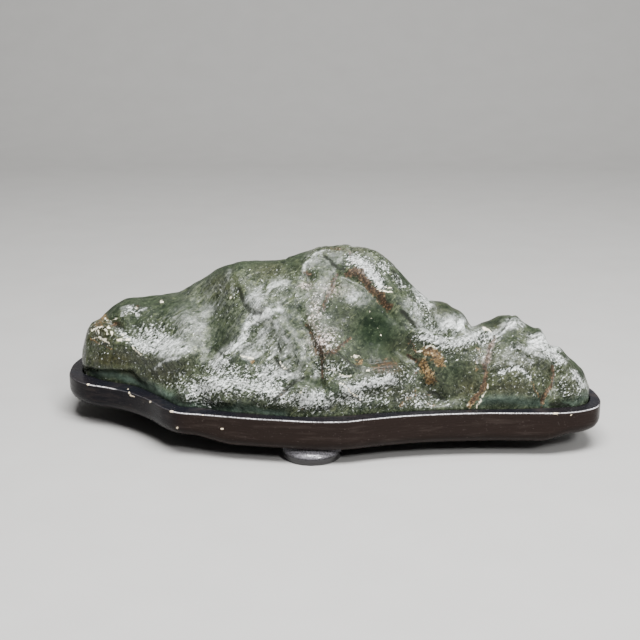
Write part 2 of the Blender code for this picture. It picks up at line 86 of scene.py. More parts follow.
# Relief on the front: kind, height, half width (and reach), then points across and up as the eye sees
# them. A step lifts the ground on the left of its path.
FRONT_RELIEF = (
    # Left end: knob, pit, glinting lump, undercut crease
    ("bump", 3.5, (8, 9), -139, -9),
    ("bump", -3.5, (4, 4), -128, -3),
    ("bump", 1.5, (9, 4), -115, 6),
    ("step", 3.0, (1.5, 15), -146, -31, -131, -32, -117, -32, -111, -39),
    # Left slope with the lip under it and the face below the lip
    ("bump", -3.0, (24, 9), -96, -9),
    ("ridge", 3.0, 6, -130, -10, -122, -16, -112, -20, -103, -23, -92, -23, -81, -20),
    ("bump", -3.0, (14, 9), -97, -36),
    # Valley between the left slope and the middle
    ("ridge", -7.0, 11, -72, 10, -68, -2, -67, -14, -71, -24, -81, -36),
    # Shoulder, its groove and the spur that runs down from it
    ("bump", 3.0, (18, 9), -47, 28),
    ("crease", -2.0, 2.5, -55, 31, -52, 19, -48, 9, -43, 4),
    ("ridge", 4.0, 6, -53, 22, -44, 9, -36, 5),
    ("ridge", 5.0, 6, -36, 5, -46, -1, -52, -12, -60, -25, -71, -31),
    # Pale middle facet and the rough skirt under it
    ("bump", -4.0, (15, 15), -30, -20),
    ("ridge", 2.5, 4, -34, 6, -23, -5, -14, -16, -11, -26),
    ("step", 7.0, (3, 13), -6, -42, -14, -39, -23, -45, -36, -42, -50, -40, -66, -36, -80, -34, -85, -40),
    # Crack down the middle, the block on its right standing proud
    ("crease", -3.0, 3, -7, -5, -4, -14, 0, -23, 1, -31, 2, -41),
    ("step", 2.5, (2, 12), -7, -5, -4, -14, 0, -23, 1, -31, 2, -41),
    ("bump", 2.0, (8, 8), 3, -14),
    # Peak: curved edge of its cap, pit, long rust groove and dark crack
    ("ridge", 2.5, 3, -11, 30, -9, 34, -6, 38, -1, 42, 8, 44, 17, 44),
    ("bump", -3.5, (4, 3), -7, 28),
    ("crease", -4.5, 3.5, 16, 31, 23, 28, 29, 25, 34, 19, 39, 14, 44, 8),
    ("step", 3.0, (2, 10), 16, 31, 23, 28, 29, 25, 34, 19, 39, 14, 44, 8),
    ("crease", -2.0, 2, 11, 30, 8, 22, 4, 12, 2, 6),
    ("bump", 1.5, (8, 6), 19, 14),
    # Dark smooth facet, the ledge under it and the bright band below
    ("bump", -4.5, (15, 16), 32, -6),
    ("step", 4.0, (2.5, 12), 49, -26, 32, -29, 20, -26, 9, -19),
    ("ridge", 3.5, 5, 11, -45, 25, -41, 45, -37),
    # Pale strip down the right of the peak, and its crack
    ("ridge", 2.5, 5, 45, 19, 55, 5, 62, -6, 72, -12),
    ("crease", -2.5, 2, 51, 4, 56, -1, 61, -8),
    # Valley between the peak and the right block, with two ochre lumps
    ("ridge", -6.0, 8, 50, -16, 55, -23, 61, -30, 66, -40, 75, -51),
    ("bump", 3.0, (7, 6), 71, -23),
    ("bump", 3.0, (5, 5), 67, -34),
    # Bowl behind the white band, and the hill at its back
    ("bump", -9.0, (12, 6), 82, -4),
    ("bump", 2.0, (9, 4), 79, 9),
    ("ridge", 5.0, 4.5, 59, -9, 68, -13, 79, -16, 91, -14, 100, -11),
    ("ridge", 4.0, 4.5, 100, -11, 111, -7, 118, -2, 121, 2),
    # Right block: bulging face, crest, hollow top and the ridges that close it
    ("bump", 5.0, (24, 18), 117, -30),
    ("bump", -4.0, (9, 9), 91, -41),
    ("bump", 2.0, (8, 4), 111, -2),
    ("bump", -3.0, (8, 5), 128, -10),
    ("crease", -2.5, 3, 120, 2, 117, -5, 111, -10),
    ("ridge", 3.5, 3.5, 122, -16, 131, -21, 141, -28),
    ("ridge", 3.5, 3.5, 136, -9, 141, -16, 146, -22, 151, -29),
    # Two rust veins, weathered a little below the face
    ("crease", -2.0, 2.2, 109, -12, 106, -22, 104, -31, 103, -41, 98, -50, 92, -55),
    ("crease", -2.0, 2.2, 146, -29, 145, -36, 142, -44, 139, -51, 136, -56),
    # Right end lobe behind its notch
    ("crease", -4.0, 4, 143, -15, 147, -22, 148, -31, 146, -42),
    ("bump", 2.5, (8, 11), 156, -36),
)

# Relief on the back, laid out along X and up
BACK_RELIEF = (
    ("ridge", 5.0, 9, -118, 76, -124, 60, -116, 44),
    ("ridge", -6.0, 11, -92, 84, -88, 62, -97, 40),
    ("ridge", 5.0, 9, -62, 102, -66, 78, -54, 52, -58, 34),
    ("crease", -4.0, 4, -36, 108, -30, 84, -38, 62, -28, 40),
    ("step", 4.0, (3, 18), 38, 58, 12, 66, -8, 60, -30, 66),
    ("ridge", 5.0, 8, 14, 118, 20, 92, 12, 70),
    ("ridge", -6.0, 9, 48, 96, 44, 70, 54, 48, 50, 34),
    ("bump", -5.0, (14, 10), 82, 62),
    ("step", 3.5, (3, 14), 128, 46, 104, 50, 84, 44, 68, 50),
    ("ridge", 3.5, 6, 112, 74, 118, 60, 110, 44),
)

# Fine relief that only the looks have: narrow cracks, thin edges and small pits, as the eye sees them
FINE_RELIEF = (
    ("crease", -1.2, 0.9, -28, 44, -23, 41, -19, 37, -12, 36),
    ("crease", -0.6, 0.8, -146, -31, -138, -32, -128, -32, -117, -31.5, -114, -35, -111, -40),
    ("crease", -1.4, 0.9, -29, -25, -24, -29, -19, -32),
    ("crease", -0.9, 0.8, -26, -14, -24, -19, -24, -23),
    ("crease", -1.4, 0.9, 51, 4, 56, -1, 61, -8),
    ("crease", -1.6, 1.0, -6, -6, -3, -14, 0, -23, 1, -31, 1, -40),
    ("crease", -1.3, 0.9, 11, 30, 8, 22, 4, 12, 2, 6),
    ("crease", -1.2, 0.9, 2, 41, 6, 36, 16, 32),
    ("crease", -1.2, 1.0, 12, -20, 20, -27, 27, -30),
    ("crease", -1.0, 0.9, -9, -20, -5, -26, -1, -31),
    ("crease", -1.6, 1.3, 55, -23, 59, -26, 63, -30),
    ("crease", -1.6, 1.2, -23, -45, -17, -41, -11, -37),
    ("crease", -1.2, 0.9, 119, 1, 116, -5, 111, -9),
    ("ridge", 0.9, 1.2, -130, -8, -124, -13, -117, -16, -113, -20),
    ("ridge", 0.8, 1.2, -103, -31, -98, -27, -92, -23),
    ("ridge", 0.8, 1.2, 39, 19, 43, 20, 47, 18, 43, 16, 39, 17),
    ("ridge", 0.9, 1.2, 12, -41, 19, -46, 27, -51),
    ("bump", -1.4, (1.8, 1.6), -129, -2),
    ("bump", -1.2, (1.6, 1.4), -124, -6),
    ("bump", -1.2, (2.4, 1.4), -8, 29),
    ("bump", -1.3, (8, 4), 82, 10.5),
    ("bump", 1.6, (7, 5), 149, -19),
)

# Stains on the front, painted sheen, glints and shade among them: strength, half width, then x and y by
# turns in pixels of the picture
PAINT = {
    # Pale frosted crust, together with painted sheen and glints: lamp reflections on the wet-looking stone,
    # painted so they stay put from every side
    "frost_and_sheen": (
        # Left slope
        (1.3, (12, 6), 163, 344), (0.95, 3.2, 137, 340, 148, 347, 160, 352, 172, 352, 184, 347),
        (0.3, (10, 6), 180, 344), (0.3, 4.5, 178, 340, 192, 329, 204, 316, 212, 304),
        (0.12, (14, 12), 212, 298), (0.35, (14, 9), 184, 326),
        (1.3, 0.9, 156, 368, 161, 363, 170, 360, 178, 358),
        (0.25, 1.0, 229, 270, 227, 277, 230, 284, 234, 293),
        # Shoulder
        (1.0, (6, 5), 256, 302), (0.65, 3.0, 254, 298, 264, 291, 274, 286, 284, 283),
        (0.75, (5, 2.5), 275, 309), (0.15, (20, 12), 285, 300),
        # Spur and middle facet
        (1.5, 3.0, 268, 313, 254, 317, 248, 328, 245, 338, 237, 347, 226, 356, 214, 365),
        (0.7, (6, 9), 252, 332), (0.6, 2.2, 268, 314, 277, 325, 283, 335, 290, 343),
        (0.85, (13, 5), 264, 355), (0.4, (14, 9), 286, 356), (0.5, (14, 12), 262, 336),
        (1.2, (13, 8), 276, 375), (0.35, 6.0, 212, 366, 228, 372, 245, 374, 262, 378),
        # Skirt and the frosted foot of the middle block
        (0.3, (34, 9), 240, 386), (1.1, (15, 5.5), 309, 400), (0.8, (2.5, 2.5), 315, 374),
        # Peak
        (0.9, 0.8, 303, 271, 305, 264, 312, 258, 320, 252, 328, 250), (0.2, (8, 4), 319, 259),
        (0.3, (7, 4), 338, 259), (0.7, (7, 4.5), 353, 298), (0.2, (9, 14), 322, 312),
        (0.3, (4, 12), 315, 304),
        # Strip down the right of the peak, bowl and white band
        (0.9, 3.6, 415, 290, 421, 297, 427, 304), (0.65, 4.6, 413, 305, 421, 317, 430, 329, 438, 337),
        (1.7, (8.0, 5.0), 453, 326), (0.5, 2.6, 434, 314, 438, 322, 446, 330),
        (1.6, 2.8, 424, 336, 434, 339, 445, 343, 458, 343, 471, 338, 477, 334, 484, 335, 495, 337),
        (1.2, 1.6, 495, 337, 505, 329, 510, 321),
        # Right block
        (1.2, (5.5, 2.8), 515, 324), (1.8, 4.0, 534, 344, 540, 341, 546, 338, 550, 345, 553, 352),
        (1.3, 2.6, 550, 352, 556, 357, 563, 362),
        (0.8, 1.4, 513, 347, 520, 346, 527, 350, 536, 354, 547, 357),
        (0.8, 1.3, 500, 373, 509, 371, 516, 369, 524, 373, 529, 377), (0.6, 1.6, 511, 364, 517, 368),
        (0.2, (22, 12), 520, 356),
        # Right lobe
        (1.1, 2.2, 575, 373, 579, 379, 583, 386), (0.1, (9, 12), 570, 384),
        # Bright band under the dark facet
        (1.5, 3.2, 347, 390, 356, 387, 366, 384, 374, 380, 388, 380), (0.3, (26, 6), 350, 396),
        # Glinting lump at the left
        (1.6, (2.8, 1.7), 127, 309), (1.0, (1.2, 1.0), 122, 314), (1.6, (2.6, 1.2), 143, 309),
        (1.2, (1.3, 1.7), 138, 315),
    ),
    # Rough grain, where the material paints white flakes that stand for glints of light
    "grain_and_glints": (
        (1.1, 7.0, 196, 390, 212, 385, 232, 382, 252, 385, 268, 390, 280, 395),
        (0.9, 5.0, 188, 400, 202, 402, 216, 405), (0.8, (14, 7), 228, 371), (1.3, (15, 5.5), 309, 400),
        (1.8, 4.2, 354, 260, 365, 267, 375, 278, 381, 285), (1.1, (5, 4.4), 383, 267),
        (1.1, 2.4, 395, 275, 402, 285), (0.7, (2.5, 1.6), 408, 286),
        (0.9, 3.6, 414, 337, 430, 339, 445, 345, 462, 344, 474, 339, 492, 339),
        (0.7, (14, 6), 448, 352), (1.3, 4.4, 346, 391, 356, 388, 370, 383, 392, 380),
        (0.9, (24, 6), 352, 398), (0.8, (15, 6), 420, 400), (0.7, (8, 8), 406, 378),
        (1.1, 3.0, 121, 331, 127, 338, 138, 345, 150, 350), (0.8, (12, 8), 150, 334),
        (0.35, (10, 5), 148, 316), (1.0, (6, 3.4), 134, 310), (0.2, (26, 16), 522, 350),
        (1.2, 3.4, 540, 343, 550, 353, 560, 362), (0.8, (3.4, 10), 581, 384),
        (0.35, (8, 12), 570, 386), (1.1, 1.7, 500, 373, 509, 371, 516, 369, 524, 373, 529, 377),
        (1.0, 2.0, 575, 373, 579, 379, 583, 386), (0.12, (14, 14), 262, 344), (0.6, (14, 7), 268, 372),
        (1.0, (9, 8), 323, 341), (0.6, (4, 14), 316, 310), (0.25, (12, 14), 332, 312),
        (0.8, (11, 6), 334, 368), (0.25, (14, 5), 384, 369), (0.45, 4.0, 414, 294, 424, 308, 432, 326),
        (0.6, (5, 8), 178, 384), (0.25, (5, 6), 97, 335), (0.1, (20, 10), 285, 292),
        (0.5, (5, 4), 474, 354),
    ),
    "rust": (
        (0.5, (9, 4.5), 389, 366),
        (1.2, 2.6, 348, 273, 357, 271, 365, 281, 371, 289, 380, 296, 385, 304, 389, 307),
        (0.7, 1.0, 350, 252, 351, 264), (1.0, 1.3, 337, 273, 332, 286, 328, 296, 323, 309),
        (0.9, 1.2, 307, 324, 313, 338, 319, 349, 322, 360, 321, 378), (0.8, (5, 2.4), 329, 352),
        (0.9, 1.4, 349, 338, 342, 345, 334, 350, 326, 353), (0.8, (3.4, 2.4), 307, 274),
        (0.75, (6, 8), 321, 346),
        (1.1, 1.6, 494, 339, 490, 349, 488, 359, 485, 366, 485, 379, 483, 388, 479, 395, 473, 402),
        (1.0, 1.3, 553, 367, 553, 376, 551, 385, 547, 391, 543, 399, 540, 407),
        (1.0, (3.6, 2.2), 115, 324), (0.9, (2.4, 1.2), 138, 306),
        (0.7, 1.4, 407, 340, 411, 346, 417, 354), (0.8, 1.2, 407, 355, 413, 359, 420, 363),
        (0.7, (1.6, 1.6), 417, 374), (0.6, (3, 1.6), 304, 408), (0.9, (3.5, 2.4), 429, 351),
        (0.5, (9, 1.6), 338, 249), (0.8, (9, 5), 385, 367), (0.6, 1.2, 410, 394, 420, 396, 430, 395),
        (0.6, 0.9, 279, 397, 283, 391),
    ),
    "ochre": (
        (1.2, 3.2, 427, 352, 432, 353, 438, 357, 440, 362),
        (1.2, 3.4, 424, 363, 426, 369, 430, 374, 431, 380), (0.9, (2.4, 3.0), 358, 363),
        (0.6, 1.4, 478, 348, 479, 356, 476, 364, 477, 372),
        (1.1, 1.8, 485, 384, 479, 395, 473, 402, 469, 407), (0.8, 0.7, 90, 338, 95, 342, 101, 344),
        (0.8, 0.7, 104, 341, 107, 347, 112, 349), (0.6, (6, 4), 101, 324),
        (0.9, 0.8, 532, 381, 536, 391, 541, 397), (0.9, (2.0, 1.4), 254, 362),
        (0.9, (3.0, 2.0), 103, 317), (0.6, (1.8, 2.4), 385, 302),
        (0.6, 1.4, 400, 406, 408, 398, 414, 392), (0.5, (3.6, 1.4), 431, 404),
        (0.9, 1.1, 549, 388, 545, 397, 541, 407),
    ),
    "cream": (
        (1.0, (1.5, 1.3), 109, 327), (0.9, (0.9, 1.8), 112, 334), (1.0, (2.0, 0.9), 119, 341),
        (1.0, (1.6, 1.0), 127, 340), (0.9, 0.6, 131, 345, 136, 350, 141, 354),
        (0.8, (1.2, 0.8), 123, 335), (0.9, (1.6, 1.2), 367, 371), (0.8, (2.4, 0.9), 138, 307),
        (1.0, 0.45, 377, 289, 383, 292, 389, 293, 394, 292), (0.9, 0.4, 380, 286, 387, 289, 394, 288),
        (1.0, (1.4, 0.9), 161, 301), (0.9, 0.9, 483, 328, 492, 331),
        (0.8, 0.7, 339, 383, 350, 391, 361, 400), (0.8, 0.7, 241, 355, 248, 357, 255, 359),
        (0.8, 0.7, 279, 361, 283, 367, 287, 370), (0.8, (3.4, 1.2), 355, 357),
        (0.7, 0.8, 326, 370, 338, 373, 351, 376), (0.7, 0.7, 324, 366, 334, 367),
        (0.8, (2.4, 0.9), 420, 352), (0.8, 0.8, 426, 348, 431, 346, 436, 349),
        (0.6, 0.7, 489, 381, 487, 390, 481, 400, 477, 407), (0.7, (0.8, 1.6), 98, 331),
        (0.7, 0.9, 92, 330, 97, 326, 104, 328, 108, 334),
        (0.7, 0.9, 93, 338, 99, 336, 106, 339, 110, 345), (0.7, 0.5, 104, 318, 110, 320, 116, 318),
        (0.5, 0.7, 366, 305, 374, 324, 382, 338, 383, 343), (0.6, (2.0, 0.8), 300, 393),
        (0.7, (1.6, 0.8), 232, 297),
    ),
    "pink": (
        (1.0, (6, 5.5), 322, 340), (0.45, (3.0, 10), 315, 312),
        (0.6, 1.6, 491, 345, 489, 355, 486, 362), (0.3, (8, 4), 332, 290), (0.6, (4, 1.8), 306, 286),
    ),
    # Painted shade in cracks, pits and hollows and under ledges
    "painted_shade": (
        (1.1, 1.4, 402, 312, 410, 317, 417, 326), (1.0, 1.5, 275, 359, 280, 366, 289, 372),
        (1.0, 1.2, 279, 343, 281, 353), (1.1, 1.0, 326, 256, 331, 262, 339, 267, 346, 268),
        (0.55, 0.7, 88, 369, 109, 370, 127, 371, 135, 373, 138, 378, 143, 384),
        (0.35, 1.0, 231, 264, 233, 274, 237, 286),
        (0.8, 1.9, 238, 288, 241, 297, 246, 306, 251, 312, 261, 313),
        (0.8, 1.2, 510, 318, 506, 327, 498, 334), (1.0, (4.5, 2.4), 309, 275),
        (0.7, 1.6, 271, 328, 258, 340, 244, 348),
        (1.0, 1.5, 275, 400, 281, 394, 288, 388, 296, 382, 304, 378),
        (0.9, 1.2, 341, 382, 348, 389, 355, 396, 362, 402), (1.0, 1.8, 429, 392, 436, 394, 444, 398),
        (1.0, 1.8, 552, 404, 560, 405, 568, 405), (0.9, 1.4, 407, 356, 414, 360, 421, 366),
        (0.9, (2.6, 1.8), 118, 327), (1.0, 1.2, 308, 326, 314, 341, 320, 352, 322, 366, 321, 378),
        (1.0, 1.3, 336, 352, 344, 359, 352, 365, 362, 370), (0.8, 1.2, 392, 270, 397, 278, 402, 290),
        (0.6, (3, 1.6), 250, 339), (0.9, 1.2, 214, 348, 219, 352, 224, 356),
        (0.7, 0.8, 190, 374, 188, 387, 185, 396), (0.5, (3.6, 2.0), 122, 361),
        (0.6, 1.0, 313, 373, 318, 380), (0.4, (10, 1.0), 560, 406), (0.6, (12, 1.2), 490, 322),
        (0.5, (8, 5), 388, 367),
    ),
    # Deep green where the stone is smooth, and painted shade along the crests
    "deep": (
        (0.9, (13, 8), 380, 354),
        (0.6, 2.6, 92, 374, 112, 376, 130, 378, 150, 392, 170, 404, 182, 409),
        (1.3, (17, 20), 376, 330), (0.7, (24, 8), 172, 307), (0.4, (10, 16), 290, 322),
        (0.4, (12, 5), 330, 262), (0.5, (9, 12), 336, 314), (0.8, (10, 2.6), 312, 383),
        (0.7, (4, 5), 333, 388), (0.7, (8, 9), 362, 336), (1.0, (3.0, 2.0), 387, 284),
        (1.0, (7.4, 2.4), 248, 362), (0.5, (9, 13), 222, 334), (0.9, (8, 5), 112, 306),
        (0.7, (9, 4), 137, 320), (0.7, (10, 10), 454, 371), (0.5, (6, 4), 560, 352),
        (0.5, (7, 6), 510, 338), (0.6, (7, 4), 290, 262), (0.6, (12, 3), 175, 300),
        (0.8, 4.5, 110, 310, 122, 300, 165, 294, 206, 276, 232, 263, 267, 260, 301, 252),
        (0.7, 3.0, 398, 272, 418, 291, 443, 303, 463, 317),
        (0.8, 3.0, 486, 324, 504, 318, 520, 320, 541, 333),
        (0.8, 2.6, 558, 349, 567, 355, 576, 364, 583, 374), (0.8, (8, 3.2), 448, 306),
        (0.8, (13, 4.5), 148, 302),
    ),
    "olive": (
        (1.0, (20, 6), 112, 359), (1.0, (10, 9), 99, 333), (0.7, (20, 8), 164, 378),
        (0.9, (12, 7), 468, 388), (0.8, (24, 6), 512, 387), (0.7, (20, 2.6), 345, 250),
        (1.4, (12, 8), 388, 368), (0.5, (8, 9), 343, 318), (0.8, (14, 5), 446, 306),
        (0.5, (6, 9), 478, 362), (0.6, (12, 7), 270, 268), (0.5, (14, 10), 225, 285),
        (0.9, (8, 4.5), 497, 323), (0.5, (16, 5), 385, 350), (0.6, (40, 22), 515, 366),
        (0.5, (12, 12), 570, 385), (0.8, (18, 7), 418, 397),
    ),
    "teal": (
        (1.1, 2.4, 94, 373, 112, 375, 130, 379, 142, 384),
        (1.0, 3.4, 142, 384, 155, 391, 168, 397, 181, 403),
        (1.0, 2.8, 183, 405, 200, 408, 219, 408, 250, 410, 283, 414),
        (1.0, 3.2, 484, 401, 505, 400, 525, 402, 545, 403), (0.8, 3.0, 566, 403, 578, 401, 587, 396),
    ),
}

# Stains on the back, laid out along X and up, of the same kinds as on the front, painted sheen, glints and
# shade among them
BACK_PAINT = {
    "frost_and_sheen": (
        (0.7, 6.0, -120, 74, -112, 66, -98, 62), (0.8, 5.0, -64, 96, -60, 78, -52, 66),
        (0.7, (16, 8), -8, 72), (0.8, 4.0, 16, 112, 22, 92, 14, 76), (0.7, (12, 8), 84, 66),
        (0.7, 4.0, 110, 72, 118, 62, 112, 50),
    ),
    "grain_and_glints": (
        (0.9, 9.0, -150, 50, -128, 44, -100, 42, -80, 40),
        (0.9, 8.0, -40, 50, -10, 46, 24, 44, 50, 42), (0.8, (16, 10), 30, 88),
        (0.8, (14, 10), 100, 52), (0.6, (20, 12), -92, 70),
    ),
    "rust": (
        (1.0, 2.0, -36, 108, -30, 84, -38, 62, -28, 40), (1.0, 2.4, 48, 92, 44, 70, 54, 50),
        (0.9, 1.6, -132, 66, -126, 52, -132, 40), (0.8, (5, 4), 92, 46),
    ),
    "ochre": (
        (0.9, 2.4, -40, 60, -34, 48, -28, 38), (0.9, (5, 4), 60, 46), (0.8, (4, 3), -104, 50),
    ),
    "cream": ((0.8, 1.2, -70, 60, -62, 54, -56, 44), (0.8, 1.2, 8, 62, 20, 56, 28, 46)),
    "pink": ((0.7, (9, 7), -44, 80),),
    "painted_shade": (
        (0.9, 1.4, 38, 57, 12, 65, -8, 59, -30, 65), (0.8, 1.4, -96, 84, -90, 62, -98, 42),
        (0.8, 1.4, 128, 45, 104, 49, 84, 43),
    ),
    "deep": ((0.8, (22, 12), -70, 44), (0.8, (20, 14), 70, 60), (0.7, (18, 12), -140, 60)),
    "olive": ((0.7, (20, 9), -110, 36), (0.7, (22, 9), 20, 38), (0.6, (18, 10), 110, 40)),
    "teal": ((0.8, 4.0, -128, 26, -60, 24, 60, 24, 128, 26),),
}

# Rows of the stone's mesh, and turning marks of a section: seat middle, front foot, front rim line,
# crest, back rim line, back foot
ROWS_ALONG = 420
ROWS_ROUND = 234
TURN_MARKS = (0.0, 0.03, 0.06, 0.66, 0.94, 0.97, 1.0)
EDGE_STEPS = 2400
SEAT_INSET = 2.0
BACK_POWER = 1.1
TIP_LEAN = 0.35
HEART = SEAT_FLOOR - 1.0
EYE_LINE = (0.0, -0.94, 0.33)
FACING_EYE = (-0.15, 0.2)
FACING_BACK = (0.05, 0.35)

# Cells of the noise lattices before they repeat
LATTICE = 24

# Uneven swell and flaked bowls: depth and size of each
SWELL = (1.6, 34.0)
FRONT_FLAKES = (1.5, 26.0)
BACK_FLAKES = 3.5
CHIPS = (1.2, 12.0)
FLAKE_MEAN = 0.35
FLAKE_BEND = (3.0, 20.0)
RELIEF_STARTS = 0.2
RELIEF_FULL = 7.0
SMALL_CHIPS = (0.9, 6.0)
TINY_CHIPS = (0.45, 3.0)
GRIT = (0.35, 2.2)

# How far calm patches lower the chips, how calm olive and smooth frost (pale crust and painted sheen) are,
# and the least grit
CALMING = 0.85
CALM_SHARE = 0.7
GRIT_LEAST = 0.12

# How far the stains and cracks wander from their paths, at two sizes
WANDER = ((1.1, 7.0), (0.55, 2.6))

# Carving of the stand's edge
EDGE_POINTS = 640
HEEL_INSET = 7.0
UNDER_INSET = 12.0
END_UNDER_INSET = 22.0
END_RISE = 4.2
HEEL_HEIGHT = 7.0
HEEL_STEPS = 10
WALL_STEPS = 8
ARRIS = 0.8
ARRIS_STEPS = 4
# How narrowly the pale edge line, wear with a painted highlight, keeps to the middle of the arris
RUBBED_AND_LIT_SHARPNESS = 4
UNEVEN = ((0.25, 16.0), (0.10, 5.0))
UNEVEN_SHARE = 0.6
MIDDLE_LINE = ((-118.0, 32.0), (112.0, -14.0))
LEFT_CORNER_LINE = (-1.0, -0.55)
LEFT_THINNED = (95.0, 120.0)
RIGHT_THINNED = (128.0, 150.0)

# Chips in the lacquer, placed in pixels of the picture as the stains are, and the stretches of the top
# edge that carry the pale line, wear with a painted highlight, in millimetres as the eye sees them
STAND_CHIPS = (
    (1.1, (1.3, 0.8), 171.5, 411.5), (1.1, (0.8, 0.8), 150, 402), (1.1, (0.9, 0.8), 177, 428),
    (1.1, (1.0, 0.9), 222, 428.5), (0.9, (0.8, 0.6), 203, 415), (1.0, (0.9, 0.7), 88, 384.5),
    (0.8, (0.6, 0.5), 111, 410), (0.7, (0.6, 0.5), 88, 395), (0.8, (0.6, 0.5), 270.5, 421.5),
    (1.0, (2.4, 0.6), 556, 413.5), (0.8, (0.6, 0.5), 571, 415),
    (1.0, 0.45, 128.3, 389, 129, 392.7, 131, 396, 134, 397),
)
RUBBED_AND_LIT_LEFT = (-146.0, -126.0)
RUBBED_AND_LIT_FRONT = (-94.0, 175.0)
# Least share of the pale edge line, wear with a painted highlight, along the whole arris
WORN_AND_LIT_LEAST = 0.06
# Where the front wall's painted shade deepens towards the left end, and the share of side colour kept there
LEFT_SHADE_RAMP = (-105.0, -80.0)
LEFT_SHADE_LEAST = 0.15

# Floor in metres: how far it reaches, where it starts to sweep up, and the sweep's radius
FLOOR_REACH = 4.0
SWEEP_START = 1.0
SWEEP_RADIUS = 0.6
SWEEP_STEPS = 24

# Button feet. SHOULDER gives the heights between which a foot's side turns into its shoulder, painted pale
# as dust together with a painted sheen
FEET = (("foot_front", -12.0, -52.0), ("foot_left", -112.0, 42.0), ("foot_right", 100.0, 4.0))
FOOT_RADIUS = 18.5
FOOT_BASE_RADIUS = 16.8
FOOT_NECK_RADIUS = 11.0
FOOT_WIDEST = 2.2
FOOT_WALL = 0.6
FOOT_SIDES = 128
NECK_STEPS = 4
SHOULDER_STEPS = 16
BASE_STEPS = 8
SHOULDER = (3.6, 6.0)

# Studio lamps in metres and watts: name, place, what each is aimed at, size and power
LAMPS = (
    ("overhead", (0.10, -0.42, 1.10), (0.0, 0.0, 0.06), (0.8, 0.45), 50.0),
    ("front_fill", (0.85, -1.5, 1.25), (0.0, 0.0, 0.06), (0.35, 0.35), 30.0),
    ("right_fill", (1.2, -0.4, 0.9), (0.0, 0.0, 0.06), (0.6, 0.8), 4.0),
    ("backdrop_light", (0.0, 0.3, 1.9), (0.0, 1.5, 0.1), (1.6, 0.3), 16.0),
)
ROOM_GREY = (0.84, 0.84, 0.84, 1.0)
ROOM_STRENGTH = 0.13


def ease(value, low, high):
    """0 below low, 1 above high, and a smooth rise between them."""
    t = np.clip((value - low) / (high - low), 0.0, 1.0)
    return t * t * (3.0 - 2.0 * t)


def smooth_through(x, known_x, known_y):
    """Cubic through the known points, with the slope at each taken from its neighbours."""
    slopes = np.gradient(known_y, known_x)
    i = np.clip(np.searchsorted(known_x, x) - 1, 0, len(known_x) - 2)
    span = known_x[i + 1] - known_x[i]
    t = np.clip((x - known_x[i]) / span, 0.0, 1.0)
    start = (1 + 2 * t) * (1 - t) ** 2 * known_y[i] + t * (1 - t) ** 2 * span * slopes[i]
    end = t * t * (3 - 2 * t) * known_y[i + 1] + t * t * (t - 1) * span * slopes[i + 1]
    return start + end


def closed_curves(count):
    """The stand's and the stone's edges in plan, smoothed through PLAN and read at count even steps."""
    plan = np.array(PLAN)
    wrapped = np.concatenate([plan[-3:], plan, plan[:4]])
    steps = np.linalg.norm(np.diff(wrapped[:, :2], axis=0), axis=1)
    along = np.concatenate([[0.0], np.cumsum(steps)])
    at = np.linspace(along[3], along[3 + len(plan)], count, endpoint=False)
    columns = [smooth_through(at, along, wrapped[:, k]) for k in range(4)]
    return np.stack(columns[:2], axis=1), np.stack(columns[2:], axis=1)


def outward(ring):
    """Unit directions in plan that point out of an anticlockwise ring."""
    along = np.roll(ring, -1, axis=0) - np.roll(ring, 1, axis=0)
    out = np.stack([along[:, 1], -along[:, 0]], axis=1)
    return out / np.linalg.norm(out, axis=1, keepdims=True)


def lattice_noise(points, size, seed):
    """Smooth noise of -1 to 1: random values on a cubic lattice, blended between its corners."""
    values = np.random.default_rng(seed).uniform(-1.0, 1.0, (LATTICE,) * 3)
    scaled = points / size + 100.0
    cell = np.floor(scaled).astype(int)
    t = scaled - cell
    t = t * t * (3.0 - 2.0 * t)
    total = np.zeros(len(points))
    for corner in np.ndindex(2, 2, 2):
        offset = np.array(corner)
        weight = np.prod(np.where(offset == 1, t, 1.0 - t), axis=1)
        i, j, k = ((cell + offset) % LATTICE).T
        total += weight * values[i, j, k]
    return total


def scallops(points, size, seed):
    """Flaked-off bowls meeting in sharp edges: the squared distance to the nearest of scattered points."""
    places = np.random.default_rng(seed).uniform(0.0, 1.0, (LATTICE, LATTICE, LATTICE, 3))
    scaled = points / size + 100.0
    cell = np.floor(scaled).astype(int)
    nearest = np.full(len(points), 9.0)
    for neighbour in np.ndindex(3, 3, 3):
        at = cell + np.array(neighbour) - 1
        i, j, k = (at % LATTICE).T
        nearest = np.minimum(nearest, ((at + places[i, j, k] - scaled) ** 2).sum(axis=1))
    return nearest


def pairs(numbers):
    """Points from a row of numbers that gives them by turns."""
    return tuple(zip(numbers[::2], numbers[1::2]))


def px(numbers):
    """Points in millimetres across and up, from x and y by turns in pixels of the picture."""
    middle = PICTURE_SIDE / 2
    return tuple((round((x - middle) * PIXEL, 1), round((middle - y) * PIXEL, 1)) for x, y in pairs(numbers))


def spot(u, w, middle, reach):
    """Bell of height 1 over its middle, with one half width across and another up."""
    return np.exp(-(((u - middle[0]) / reach[0]) ** 2) - ((w - middle[1]) / reach[1]) ** 2)


def path_measure(u, w, path):
    """Distance to a path, and how far to its left, both from the nearest of its straight pieces."""
    distance = np.full(len(u), 1e9)
    left = np.zeros(len(u))
    for (u0, w0), (u1, w1) in zip(path[:-1], path[1:]):
        du, dw = u1 - u0, w1 - w0
        length = math.hypot(du, dw)
        t = np.clip(((u - u0) * du + (w - w0) * dw) / length**2, 0.0, 1.0)
        d = np.hypot(u - u0 - t * du, w - w0 - t * dw)
        nearer = d < distance
        left[nearer] = ((du * (w - w0) - dw * (u - u0)) / length)[nearer]
        distance = np.minimum(distance, d)
    return distance, left


